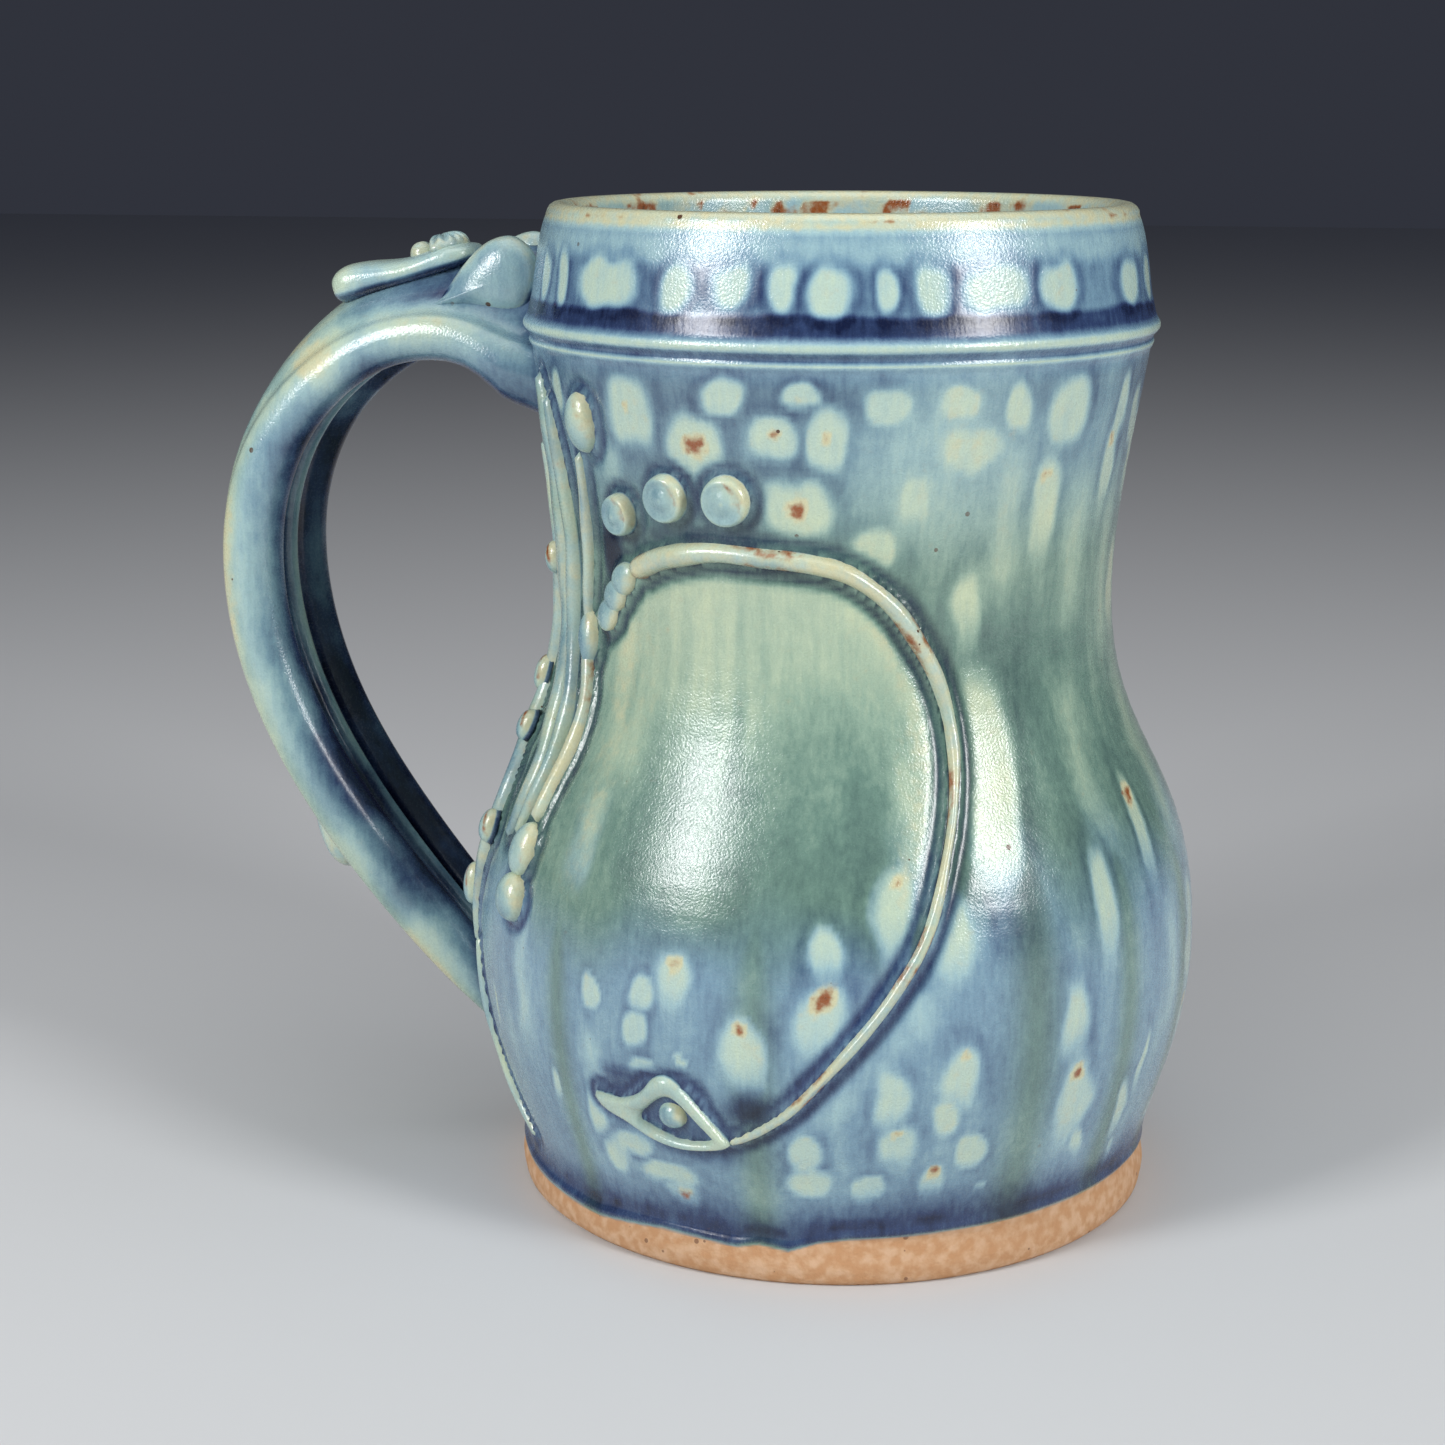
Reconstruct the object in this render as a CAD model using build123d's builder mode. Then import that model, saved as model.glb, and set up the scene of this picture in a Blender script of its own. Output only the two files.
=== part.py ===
"""Hand-thrown stoneware stein with a pulled strap handle and applied clay sprigs.

Millimetres, +Z up. The origin is the centre of the foot's resting face, on the
throwing axis. The handle stands out along -X. Places on the wall are given as
(angle, height): the angle is measured round the axis from the handle, towards -Y.
"""
import os
from math import cos, radians, sin

from build123d import *

os.makedirs("parts", exist_ok=True)

# Thrown body ---------------------------------------------------------------
rim_height = 145.0
rim_radius = 42.0
lip_thickness = 3.4
collar_depth = 16.8         # ridge crest below the rim
ridge_radius = 45.5
ridge_land = 2.4            # fine line below the ridge crest
waist_height = 91.0
waist_radius = 40.0
belly_height = 38.0
belly_radius = 53.4
foot_radius = 47.5
foot_neck_inset = 0.6       # where the bare clay meets the glaze
foot_neck_height = 6.5
foot_bevel = 1.0            # width of the foot's softened edge
foot_bevel_height = 2.6
foot_cove = 7.5             # length of the first curve above the foot
foot_cove_flare = 1.0
belly_swell = 14.0          # pull of the belly's curve below its widest place
waist_lift = 1.0            # how much higher the wall's S runs than an even one
collar_tuck = 2.6           # the wall stays this far inside the ridge below it
ridge_undercut = 1.1
ridge_cove_inset = 1.3      # hollow between the ridge and the collar
ridge_cove_height = 4.2
rim_flare = 1.6             # the collar draws in by this much over its last part
rim_flare_height = 6.0
wall = 5.0
lip_flare = 0.6             # the inside opens by this much below the lip
floor_thickness = 7.0
floor_corner = 7.0          # the flat floor stops this far inside the wall
floor_corner_pull = 8.0
floor_corner_rise = 1.0
inner_belly_swell = 15.0

ridge_height = rim_height - collar_depth

# Pulled handle -------------------------------------------------------------
grip_reach = 88.0           # strap centre line from the throwing axis
grip_height = 91.0
strap_head_drop = 1.2       # head of the strap below the ridge crest
strap_foot_height = 20.0
strap_half_width = 13.1
strap_thickness = 9.6
strap_crown = 1.0           # rise of the back's middle over its rolled edges
strap_rib = 1.7             # rib down the middle of the inner face
strap_sink = 5.0            # how far the ends run into the wall before they are fitted
strap_shoulder_rise = 5.8   # the strap climbs this far above its head first
strap_shoulder_pull = 0.73  # pulls of the centre line's curves, as shares of the
strap_upper_pull = 0.72     # reach across and of the rise between head, grip and foot
strap_lower_pull = 0.38
strap_heel_reach_pull = 0.77
strap_heel_pull = 0.31
strap_foot_dip = 2.0

# Sprigs --------------------------------------------------------------------
seat_depth = 1.2            # how far a round sprig is pressed past the wall's surface
thumb_rest_start = 0.095    # shares of the strap's length that the thumb rest bridges
thumb_rest_span = 0.15
thumb_rest_length = 23.0
thumb_rest_width = 13.0
thumb_rest_thickness = 3.4
thumb_rest_edge = 1.2
thumb_rest_bed = 2.5        # how far it reaches down round the crowned strap
comb_place = -0.36          # shares of the thumb rest's length from its middle
comb_length = 9.0
comb_width = 5.0
comb_height = 1.8
comb_root = 1.2             # sunk into the thumb rest before it is fitted
comb_notches = 5
comb_notch_width = 0.7
comb_notch_depth = 0.9
rest_bead_place = -0.13
rest_bead_radius = 1.7
rest_bead_lift = 0.3
shoulder_inset = 2.0        # inner face of each shoulder leaf from the middle plane
shoulder_width = 7.0
spur_share = 0.72           # share of the strap's length
spur_length = 13.0
spur_width = 8.0
spur_height = 2.6
spur_root = 2.0             # sunk into the strap before it is fitted
spur_edge = 1.2
flank_pod_width = 3.6
flank_pod_relief = 1.6
flank_pod_lift = 1.2        # the pods sit on the strand, not on the wall
bead_diameter = 6.4
bead_relief = 2.4
bead_side = 0.5             # share of a button bead's relief that its side takes
bead_rounding = 0.45
bead_root = 1.5             # sunk past the wall's surface before it is fitted
leaf_relief = 2.2
leaf_reach = 3.5            # eye leaf's blank, in reliefs, before it is cut to its skin


def outer_curves(grow=0.0):
    """Draw the outside of the wall from foot to rim, moved outwards by grow."""
    foot = foot_radius + grow
    neck = foot_radius - foot_neck_inset + grow
    belly = belly_radius + grow
    waist = waist_radius + grow
    ridge = ridge_radius + grow
    rim = rim_radius + grow
    below_ridge = ridge_height - ridge_land
    belly_arm = (waist_height - belly_height) / 2
    collar_arm = (below_ridge - waist_height) / 3
    Polyline((foot - foot_bevel, 0), (foot, foot_bevel_height), (neck, foot_neck_height))
    Bezier(
        (neck, foot_neck_height),
        (neck + foot_cove_flare, foot_neck_height + foot_cove),
        (belly, belly_height - belly_swell),
        (belly, belly_height),
    )
    Bezier(
        (belly, belly_height),
        (belly, belly_height + belly_arm + waist_lift),
        (waist, waist_height - belly_arm + waist_lift),
        (waist, waist_height),
    )
    Bezier(
        (waist, waist_height),
        (waist, waist_height + collar_arm),
        (ridge - collar_tuck, below_ridge - collar_arm + waist_lift),
        (ridge - ridge_undercut, below_ridge),
    )
    Line((ridge - ridge_undercut, below_ridge), (ridge, ridge_height))
    Bezier(
        (ridge, ridge_height),
        (ridge - ridge_cove_inset, ridge_height + ridge_cove_height),
        (rim + rim_flare, rim_height - rim_flare_height),
        (rim, rim_height - lip_thickness / 2),
    )


def envelope(grow=0.0):
    """The filled outside shape of the wall, grown by a skin thickness."""
    with BuildPart() as filled:
        with BuildSketch(Plane.XZ) as half:
            with BuildLine():
                outer_curves(grow)
                top = rim_height - lip_thickness / 2
                Polyline((rim_radius + grow, top), (0, top), (0, 0), (foot_radius - foot_bevel + grow, 0))
            make_face()
        revolve(axis=Axis.Z)
    return filled.part


body_envelope = envelope()

with BuildLine(Plane.XZ) as wall_outline:
    outer_curves()
wall_line = wall_outline.wire()


def wall_radius(height):
    """Outside radius of the wall at a height, found by halving along its outline."""
    low, high = 0.0, 1.0
    for _ in range(40):
        middle = (low + high) / 2
        if wall_line.position_at(middle).Z < height:
            low = middle
        else:
            high = middle
    return wall_line.position_at(low).X


def direction(angle):
    """Horizontal unit vector at an angle from the handle."""
    return Vector(-cos(radians(angle)), -sin(radians(angle)), 0)


def on_wall(angle, height, lift=0.0):
    """A place on the wall, lifted off it along the radius."""
    return direction(angle) * (wall_radius(height) + lift) + Vector(0, 0, height)


def wall_plane(angle, height, lift=0.0, turn=0.0):
    """Plane that touches the wall, its Y axis up the wall, turned about its normal."""
    upward = on_wall(angle, height + 1) - on_wall(angle, height - 1)
    around = on_wall(angle + 1, height) - on_wall(angle - 1, height)
    normal = around.cross(upward)
    plane = Plane(on_wall(angle, height) + normal.normalized() * lift, x_dir=around, z_dir=normal)
    return plane.rotated((0, 0, turn))


def hand_over(piece, name):
    """Label a finished piece and write it out."""
    piece.part.label = name
    export_step(piece.part, f"parts/{name}.step")


# ---------------------------------------------------------------------------
# Thrown body: foot, belly, waist, ridged collar and rounded lip in one wall.
with BuildPart() as thrown_body:
    with BuildSketch(Plane.XZ):
        with BuildLine():
            outer_curves()
            lip_base = rim_height - lip_thickness / 2
            inner_rim = rim_radius - lip_thickness
            ThreePointArc(
                (rim_radius, lip_base),
                (rim_radius - lip_thickness / 2, rim_height),
                (inner_rim, lip_base),
            )
            inner_belly = belly_radius - wall
            inner_waist = waist_radius - wall
            inner_foot = foot_radius - wall - floor_corner
            inner_arm = (waist_height - belly_height) / 2
            Bezier(
                (inner_rim, lip_base),
                (inner_rim + lip_flare, ridge_height),
                (inner_waist, waist_height + inner_arm),
                (inner_waist, waist_height),
            )
            Bezier(
                (inner_waist, waist_height),
                (inner_waist, waist_height - inner_arm),
                (inner_belly, belly_height + inner_arm),
                (inner_belly, belly_height),
            )
            Bezier(
                (inner_belly, belly_height),
                (inner_belly, belly_height - inner_belly_swell),
                (inner_foot + floor_corner_pull, floor_thickness + floor_corner_rise),
                (inner_foot, floor_thickness),
            )
            Polyline(
                (inner_foot, floor_thickness),
                (0, floor_thickness),
                (0, 0),
                (foot_radius - foot_bevel, 0),
            )
        make_face()
    revolve(axis=Axis.Z)
hand_over(thrown_body, "thrown_body")

# ---------------------------------------------------------------------------
# Pulled handle: a strap with rolled edges, a crowned back and a rib down the
# inner face. It flares where its head is thumbed on under the collar.
head_height = ridge_height - strap_head_drop
grip_rise = grip_height - strap_foot_height
with BuildLine(Plane.XZ) as strap_course:
    Bezier(
        (strap_sink - wall_radius(head_height), head_height),
        (-strap_shoulder_pull * grip_reach, head_height + strap_shoulder_rise),
        (-grip_reach, grip_height + strap_upper_pull * (head_height - grip_height)),
        (-grip_reach, grip_height),
    )
    Bezier(
        (-grip_reach, grip_height),
        (-grip_reach, grip_height - strap_lower_pull * grip_rise),
        (-strap_heel_reach_pull * grip_reach, strap_foot_height + strap_heel_pull * grip_rise),
        (strap_sink - wall_radius(strap_foot_height), strap_foot_height - strap_foot_dip),
    )
strap_line = strap_course.wire()

# Along the strap: share of its length, width, thickness, crown and how far the
# rolled edges droop, each as a share of the strap's own size at the grip.
strap_stations = [
    (0.00, 1.14, 1.25, 4.5, 1.10),
    (0.05, 1.10, 1.05, 4.3, 0.75),
    (0.10, 1.04, 0.86, 4.0, 0.42),
    (0.17, 1.00, 0.78, 3.6, 0.24),
    (0.26, 0.99, 0.84, 2.8, 0.10),
    (0.36, 1.00, 0.95, 1.6, 0.02),
    (0.50, 1.00, 1.00, 1.0, 0.00),
    (0.64, 0.97, 1.00, 0.8, 0.00),
    (0.78, 0.92, 1.00, 0.8, 0.00),
    (0.90, 0.84, 0.90, 0.8, 0.00),
    (1.00, 0.62, 0.62, 0.5, 0.00),
]


def strap_frame(share):
    """Plane across the strap: X towards -Y, Y out of the back of the strap."""
    tangent = strap_line.tangent_at(share)
    return Plane(strap_line.position_at(share), x_dir=(0, -1, 0), z_dir=tangent)


def strap_outline(width_share, thickness_share, crown_share, droop_share):
    """Right half of the strap's outline as points, from the back's middle to the rib."""
    half = strap_half_width * width_share
    roll = strap_thickness * thickness_share / 2
    crown = strap_crown * crown_share
    droop = strap_thickness * droop_share
    return [
        (0, roll + crown),
        (0.42 * half, roll + 0.62 * crown - 0.35 * droop),
        (half - 0.95 * roll, roll - droop),
        (half - 0.28 * roll, 0.70 * roll - droop),
        (half, -droop),
        (half - 0.28 * roll, -0.70 * roll - droop),
        (half - 0.95 * roll, -roll - droop),
        (half - 1.65 * roll, -0.62 * roll - 0.8 * droop),
        (0.26 * half, 0.25 * strap_rib - 0.5 * roll - 0.5 * droop),
        (0, -0.5 * roll - strap_rib - 0.4 * droop),
    ]


def strap_surface(share):
    """Height of the back of the strap's middle over its centre line."""
    above = [s for s in strap_stations if s[0] >= share][0]
    below = [s for s in strap_stations if s[0] <= share][-1]
    span = above[0] - below[0]
    blend = (share - below[0]) / span if span else 0.0
    thickness = below[2] + blend * (above[2] - below[2])
    crown = below[3] + blend * (above[3] - below[3])
    return strap_thickness * thickness / 2 + strap_crown * crown


with BuildPart() as pulled_handle:
    for share, width, thickness, crown, droop in strap_stations:
        right = strap_outline(width, thickness, crown, droop)
        left = [(-x, y) for x, y in reversed(right[1:-1])]
        with BuildSketch(strap_frame(share)):
            with BuildLine():
                Spline(*right)
                Spline(right[-1], *left, right[0])
            make_face()
    loft()
    add(body_envelope, mode=Mode.SUBTRACT)
hand_over(pulled_handle, "pulled_handle")


def on_strap(share):
    """Place on the back of the strap's middle."""
    frame = strap_frame(share)
    return frame.origin + frame.y_dir * strap_surface(share)


def strap_pad(share):
    """Plane resting on the back of the strap, its X axis down the strap."""
    frame = strap_frame(share)
    return Plane(on_strap(share), x_dir=frame.z_dir, z_dir=frame.y_dir)


def keep_largest(piece):
    """Drop the crumbs that fitting a piece to its seat can leave."""
    return piece.solids().sort_by(SortBy.VOLUME)[-1]


def pod(name, plane, length, width, height, rests_on):
    """Press on a ball or pod of clay: length up the plane, height proud of it."""
    with BuildPart() as ball:
        with BuildSketch(plane.offset(height - width / 2)):
            Ellipse(width / 2, length / 2)
            Rectangle(width, length, align=(Align.MIN, Align.CENTER), mode=Mode.INTERSECT)
        revolve(axis=Axis(plane.offset(height - width / 2).origin, plane.y_dir))
        for seat in rests_on:
            add(seat, mode=Mode.SUBTRACT)
        largest = keep_largest(ball)
        add(largest, mode=Mode.REPLACE)
    hand_over(ball, name)
    return ball.part


def coil(name, course, thickness, rests_on, seat=seat_depth):
    """Lay a rolled coil along (angle, height) places; thickness runs start, middle, end."""
    places = [on_wall(angle, height, thickness[1] / 2 - seat) for angle, height in course]
    run = Edge.make_spline(places)
    sections = max(6, 3 * len(course))
    with BuildPart() as roll:
        for step in range(sections + 1):
            share = step / sections
            early = max(0.0, 1 - 2 * share)
            late = max(0.0, 2 * share - 1)
            middle = 1 - early - late
            radius = (early * thickness[0] + middle * thickness[1] + late * thickness[2]) / 2
            with BuildSketch(Plane(run.position_at(share), z_dir=run.tangent_at(share))):
                Circle(radius)
        loft()
        for seat_piece in rests_on:
            add(seat_piece, mode=Mode.SUBTRACT)
        largest = keep_largest(roll)
        add(largest, mode=Mode.REPLACE)
    hand_over(roll, name)
    return roll.part


handle_clay = pulled_handle.part

# ---------------------------------------------------------------------------
# Thumb rest: a slab of clay lying on the shoulder of the strap, with a bead and
# a notched coil pressed on its inner end.
thumb_rest_inner_end = on_strap(thumb_rest_start)
thumb_rest_outer_end = on_strap(thumb_rest_start + thumb_rest_span)
thumb_rest_slope = thumb_rest_outer_end - thumb_rest_inner_end
thumb_rest_sole = Plane(
    (thumb_rest_inner_end + thumb_rest_outer_end) / 2,
    x_dir=thumb_rest_slope,
    z_dir=thumb_rest_slope.cross(Vector(0, 1, 0)) * -1,
).offset(-thumb_rest_bed)
with BuildPart() as thumb_rest:
    with BuildSketch(thumb_rest_sole):
        SlotOverall(thumb_rest_length, thumb_rest_width)
    extrude(amount=thumb_rest_thickness + thumb_rest_bed)
    top_face = thumb_rest.faces().sort_by(Axis(thumb_rest_sole.origin, thumb_rest_sole.z_dir))[-1]
    fillet(top_face.edges(), thumb_rest_edge)
    add(handle_clay, mode=Mode.SUBTRACT)
    largest = keep_largest(thumb_rest)
    add(largest, mode=Mode.REPLACE)
hand_over(thumb_rest, "thumb_rest")

thumb_rest_top = thumb_rest_sole.offset(thumb_rest_thickness + thumb_rest_bed)
comb_plane = Plane(
    thumb_rest_top.from_local_coords((comb_place * thumb_rest_length, 0, 0)),
    x_dir=thumb_rest_top.x_dir,
    z_dir=thumb_rest_top.z_dir,
)
with BuildPart() as thumb_rest_comb:
    with BuildSketch(comb_plane.offset(-comb_root)):
        SlotOverall(comb_length, comb_width, rotation=90)
    extrude(amount=comb_height + comb_root)
    with BuildSketch(comb_plane.offset(comb_height - comb_notch_depth)):
        with GridLocations(comb_width, comb_length / (comb_notches + 1), 1, comb_notches):
            Rectangle(2 * comb_width, comb_notch_width)
    extrude(amount=comb_height, mode=Mode.SUBTRACT)
    add(thumb_rest.part, mode=Mode.SUBTRACT)
    add(handle_clay, mode=Mode.SUBTRACT)
    largest = keep_largest(thumb_rest_comb)
    add(largest, mode=Mode.REPLACE)
hand_over(thumb_rest_comb, "thumb_rest_comb")

bead_plane = Plane(
    thumb_rest_top.from_local_coords((rest_bead_place * thumb_rest_length, 0, 0)),
    x_dir=thumb_rest_top.x_dir,
    z_dir=thumb_rest_top.z_dir,
)
with BuildPart() as thumb_rest_bead:
    with Locations(bead_plane.offset(rest_bead_lift)):
        Sphere(rest_bead_radius)
    add(thumb_rest.part, mode=Mode.SUBTRACT)
    add(thumb_rest_comb.part, mode=Mode.SUBTRACT)
    add(handle_clay, mode=Mode.SUBTRACT)
    largest = keep_largest(thumb_rest_bead)
    add(largest, mode=Mode.REPLACE)
hand_over(thumb_rest_bead, "thumb_rest_bead")

# ---------------------------------------------------------------------------
# Shoulder leaves: a thick lobed leaf each side of the strap's head, running up
# on to the collar, with a tail drawn out along the strap.
leaf_root = wall_radius(head_height)
shoulder_outline = [
    (18.0, 2.6),
    (10.6, 9.3),
    (6.6, 12.6),
    (2.6, 13.0),
    (-1.5, 11.0),
    (-1.5, 6.0),
    (3.0, 3.0),
    (9.0, 2.6),
]
for name, side in (("near_shoulder_leaf", 1), ("far_shoulder_leaf", -1)):
    with BuildPart() as shoulder_leaf:
        with BuildSketch(Plane.XZ.offset(side * shoulder_inset)):
            with BuildLine():
                outline = [(-leaf_root - out, head_height + up) for out, up in shoulder_outline]
                Spline(*outline, periodic=True)
            make_face()
        extrude(amount=side * shoulder_width)
        add(handle_clay, mode=Mode.SUBTRACT)
        add(body_envelope, mode=Mode.SUBTRACT)
        add(thumb_rest.part, mode=Mode.SUBTRACT)
        add(thumb_rest_comb.part, mode=Mode.SUBTRACT)
        largest = keep_largest(shoulder_leaf)
        add(largest, mode=Mode.REPLACE)
    hand_over(shoulder_leaf, name)

# ---------------------------------------------------------------------------
# Spur leaf: a small wedge of clay luted low on the strap's back.
spur_plane = strap_pad(spur_share)
with BuildPart() as spur_leaf:
    with BuildSketch(spur_plane.offset(-spur_root)):
        with BuildLine():
            Spline((-spur_length / 2, 0), (0, spur_width / 2), (spur_length / 2, 0))
            Spline((spur_length / 2, 0), (0, -spur_width / 2), (-spur_length / 2, 0))
        make_face()
    extrude(amount=spur_height + spur_root)
    top_face = spur_leaf.faces().sort_by(Axis(spur_plane.origin, spur_plane.z_dir))[-1]
    fillet(top_face.edges(), spur_edge)
    add(handle_clay, mode=Mode.SUBTRACT)
    largest = keep_largest(spur_leaf)
    add(largest, mode=Mode.REPLACE)
hand_over(spur_leaf, "spur_leaf")

# ---------------------------------------------------------------------------
# Sprigs on the wall. A list gives each its course; a later one is fitted over
# the ones it crosses.
wall_seat = [body_envelope, handle_clay]

tail_leaf = pod("tail_leaf", wall_plane(6, 17.0), 15.0, 7.5, 2.4, wall_seat)

flank_strand = coil(
    "flank_strand",
    [(20, 112), (17, 100), (15, 88), (15, 76), (19, 68), (24, 61), (23, 52), (19, 44), (18, 36)],
    (2.0, 3.0, 1.6),
    wall_seat,
)
left_twist = coil(
    "left_twist",
    [(28, 122), (29, 112), (28.5, 102), (28, 92), (31, 82), (33, 74), (35, 65), (33, 56)],
    (2.2, 3.2, 1.8),
    wall_seat,
)
right_twist = coil(
    "right_twist",
    [(31, 119), (33.5, 109), (33, 99), (33.5, 89), (36, 79), (38, 71), (38.5, 63), (37, 57)],
    (2.2, 3.2, 1.8),
    [*wall_seat, left_twist],
)
bud_stem = coil(
    "bud_stem",
    [(43, 112), (42.5, 105), (42, 98), (40, 91), (40.5, 86)],
    (1.6, 2.2, 1.8),
    [*wall_seat, left_twist, right_twist],
)
oval_bud = pod("oval_bud", wall_plane(46, 116.4), 8.4, 6.2, 2.2, [*wall_seat, bud_stem, right_twist])
pod_stem = coil(
    "pod_stem",
    [(41, 84.0), (43.5, 78), (43.8, 71), (42.5, 65), (42, 60)],
    (2.0, 2.4, 2.6),
    [*wall_seat, bud_stem, right_twist],
)
pointed_bud = pod(
    "pointed_bud", wall_plane(41.5, 85.5, turn=6), 7.5, 4.2, 1.9, [*wall_seat, bud_stem, pod_stem, right_twist]
)
stem_pod = pod("stem_pod", wall_plane(41, 56.0, turn=-8), 8.0, 5.4, 2.2, [*wall_seat, pod_stem, right_twist])
lower_bead = pod(
    "lower_bead", wall_plane(40.5, 49.2), 7.2, 6.4, 2.6, [*wall_seat, stem_pod, pod_stem, right_twist, left_twist]
)

flank_pod_places = [(17, 94.3, 5.0), (14.5, 76.3, 5.8), (20, 69.2, 5.0), (25, 55.5, 5.0), (17.5, 45.0, 6.4)]
pod_seats = [*wall_seat, flank_strand, left_twist]
for number, (angle, height, length) in enumerate(flank_pod_places, start=1):
    plane = wall_plane(angle, height, lift=flank_pod_lift)
    pod(f"flank_pod_{number}", plane, length, flank_pod_width, flank_pod_relief, pod_seats)

# The vine: a long coil that starts under three scales and swings round the
# belly to the eye leaf.
vine = coil(
    "vine",
    [(57, 96.4), (67.5, 99.4), (76, 100.6), (86, 100.3), (96, 99.6), (103, 98.2), (110.5, 93.9), (115.5, 89.0)]
    + [(119, 84.7), (121.3, 79.2), (121.1, 73.1), (119.5, 66.8), (117, 60.8), (113.6, 51.3), (109.5, 45.6)]
    + [(104, 38.7), (95, 28.6), (90, 25.4), (86, 23.8)],
    (2.6, 2.2, 1.2),
    wall_seat,
    seat=0.6,
)
scale_seats = [*wall_seat, vine, bud_stem, pod_stem, pointed_bud]
for number, (angle, height) in enumerate([(53.5, 95.2), (50.5, 92.6), (47.8, 89.6)], start=1):
    scale = pod(f"vine_scale_{number}", wall_plane(angle, height, turn=-48), 5.2, 4.2, 1.6, scale_seats)
    scale_seats.append(scale)

# Three button beads over the vine.
for number, (angle, height) in enumerate([(55, 104.5), (67, 107.6), (79.5, 107.9)], start=1):
    plane = wall_plane(angle, height)
    with BuildPart() as button_bead:
        with BuildSketch(plane.offset(-bead_root)):
            Circle(bead_diameter / 2)
        extrude(amount=bead_root + bead_side * bead_relief)
        rim = button_bead.edges().sort_by(Axis(plane.origin, plane.z_dir))[-1]
        fillet(rim, bead_rounding * bead_relief)
        add(body_envelope, mode=Mode.SUBTRACT)
    hand_over(button_bead, f"button_bead_{number}")

# Eye leaf: a leaf ring with a drawn-out tip, cut to one thickness over the
# wall, and a bead in its hollow.
leaf_skin = envelope(leaf_relief)
eye_plane = wall_plane(75.5, 25.5)
with BuildPart() as eye_leaf:
    with BuildSketch(eye_plane.offset(-leaf_relief)):
        with BuildLine():
            Spline(
                (-13.0, -0.6),
                (-9.6, 0.8),
                (-5.6, 1.6),
                (-0.8, 5.6),
                (4.0, 2.6),
                (7.6, -2.6),
                (2.0, -5.2),
                (-5.0, -3.8),
                (-11.6, -2.8),
                periodic=True,
            )
        make_face()
        with BuildLine():
            Spline((-5.2, -1.6), (-0.6, 3.0), (3.6, -0.4), (5.6, -3.2), (0.6, -3.6), periodic=True)
        make_face(mode=Mode.SUBTRACT)
    extrude(amount=leaf_reach * leaf_relief)
    add(leaf_skin, mode=Mode.INTERSECT)
    add(body_envelope, mode=Mode.SUBTRACT)
hand_over(eye_leaf, "eye_leaf")
pod("eye_bead", wall_plane(76.2, 25.4), 2.6, 3.0, 1.3, [body_envelope, eye_leaf.part])

# Foot strand: a thin coil trailing down the flank towards the foot.
foot_strand = coil(
    "foot_strand",
    [(21, 38), (22.5, 30), (24, 22), (28, 14), (34, 9.5)],
    (1.4, 2.0, 1.2),
    [*wall_seat, flank_strand, tail_leaf],
)
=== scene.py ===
import logging
import math
from dataclasses import dataclass, field
from enum import Enum

import bmesh
import bpy
import numpy as np
from mathutils import Matrix, Vector


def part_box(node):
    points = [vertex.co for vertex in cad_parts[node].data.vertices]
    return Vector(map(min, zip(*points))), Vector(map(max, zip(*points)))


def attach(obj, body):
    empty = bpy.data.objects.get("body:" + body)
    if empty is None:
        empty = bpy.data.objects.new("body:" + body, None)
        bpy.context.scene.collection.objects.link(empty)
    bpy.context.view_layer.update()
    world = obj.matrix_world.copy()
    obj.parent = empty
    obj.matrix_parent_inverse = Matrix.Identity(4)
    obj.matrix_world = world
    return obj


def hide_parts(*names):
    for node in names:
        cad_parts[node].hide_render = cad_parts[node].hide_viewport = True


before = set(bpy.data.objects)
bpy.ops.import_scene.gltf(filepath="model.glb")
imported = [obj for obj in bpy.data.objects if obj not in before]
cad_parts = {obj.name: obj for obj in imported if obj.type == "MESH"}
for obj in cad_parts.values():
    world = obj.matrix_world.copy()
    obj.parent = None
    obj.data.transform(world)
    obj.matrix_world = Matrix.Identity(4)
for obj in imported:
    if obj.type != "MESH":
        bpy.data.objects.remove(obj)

LOG = logging.getLogger("stein")
MM = 0.001
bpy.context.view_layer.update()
ROOT = "root"


class Mask(Enum):
    """Names of the glaze masks stored on every mesh, one value per point."""

    # Besides the glaze, thin also carries a painted highlight right of the vine, and pool carries painted
    # shade on the handle's inner face, under the thumb rest and along the shoulder leaves' lower edges.
    THIN = "thin"      # glaze broken pale over an edge or a spot
    POOL = "pool"      # glaze gathered deep in a hollow
    GREEN = "green"    # share of the green glaze over the blue
    WARM = "warm"      # yellow cream tint of the thin glaze
    RUST = "rust"      # iron bleeding through
    CLAY = "clay"      # bare stoneware


class Flank(Enum):
    """Side of the handle that a shoulder leaf lies on."""

    NEAR = -1
    FAR = 1


# ---------------------------------------------------------------------------
# Small helpers


def smooth(low: float, high: float, value: np.ndarray) -> np.ndarray:
    """Ease from 0 at low to 1 at high.

    Args:
        low: value that gives 0.
        high: value that gives 1.
        value: values to ease.

    Returns:
        The eased values.
    """
    share = np.clip((np.asarray(value, dtype=float) - low) / (high - low), 0.0, 1.0)
    return share * share * (3.0 - 2.0 * share)


def bezier(controls: list[tuple[float, float]], steps: int) -> np.ndarray:
    """Sample a cubic Bezier curve.

    Args:
        controls: its four control points.
        steps: number of spans.

    Returns:
        An array of steps + 1 points.
    """
    share = np.linspace(0.0, 1.0, steps + 1)[:, None]
    a, b, c, d = (np.array(p, dtype=float) for p in controls)
    return ((1 - share) ** 3 * a + 3 * (1 - share) ** 2 * share * b + 3 * (1 - share) * share**2 * c
            + share**3 * d)


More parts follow.
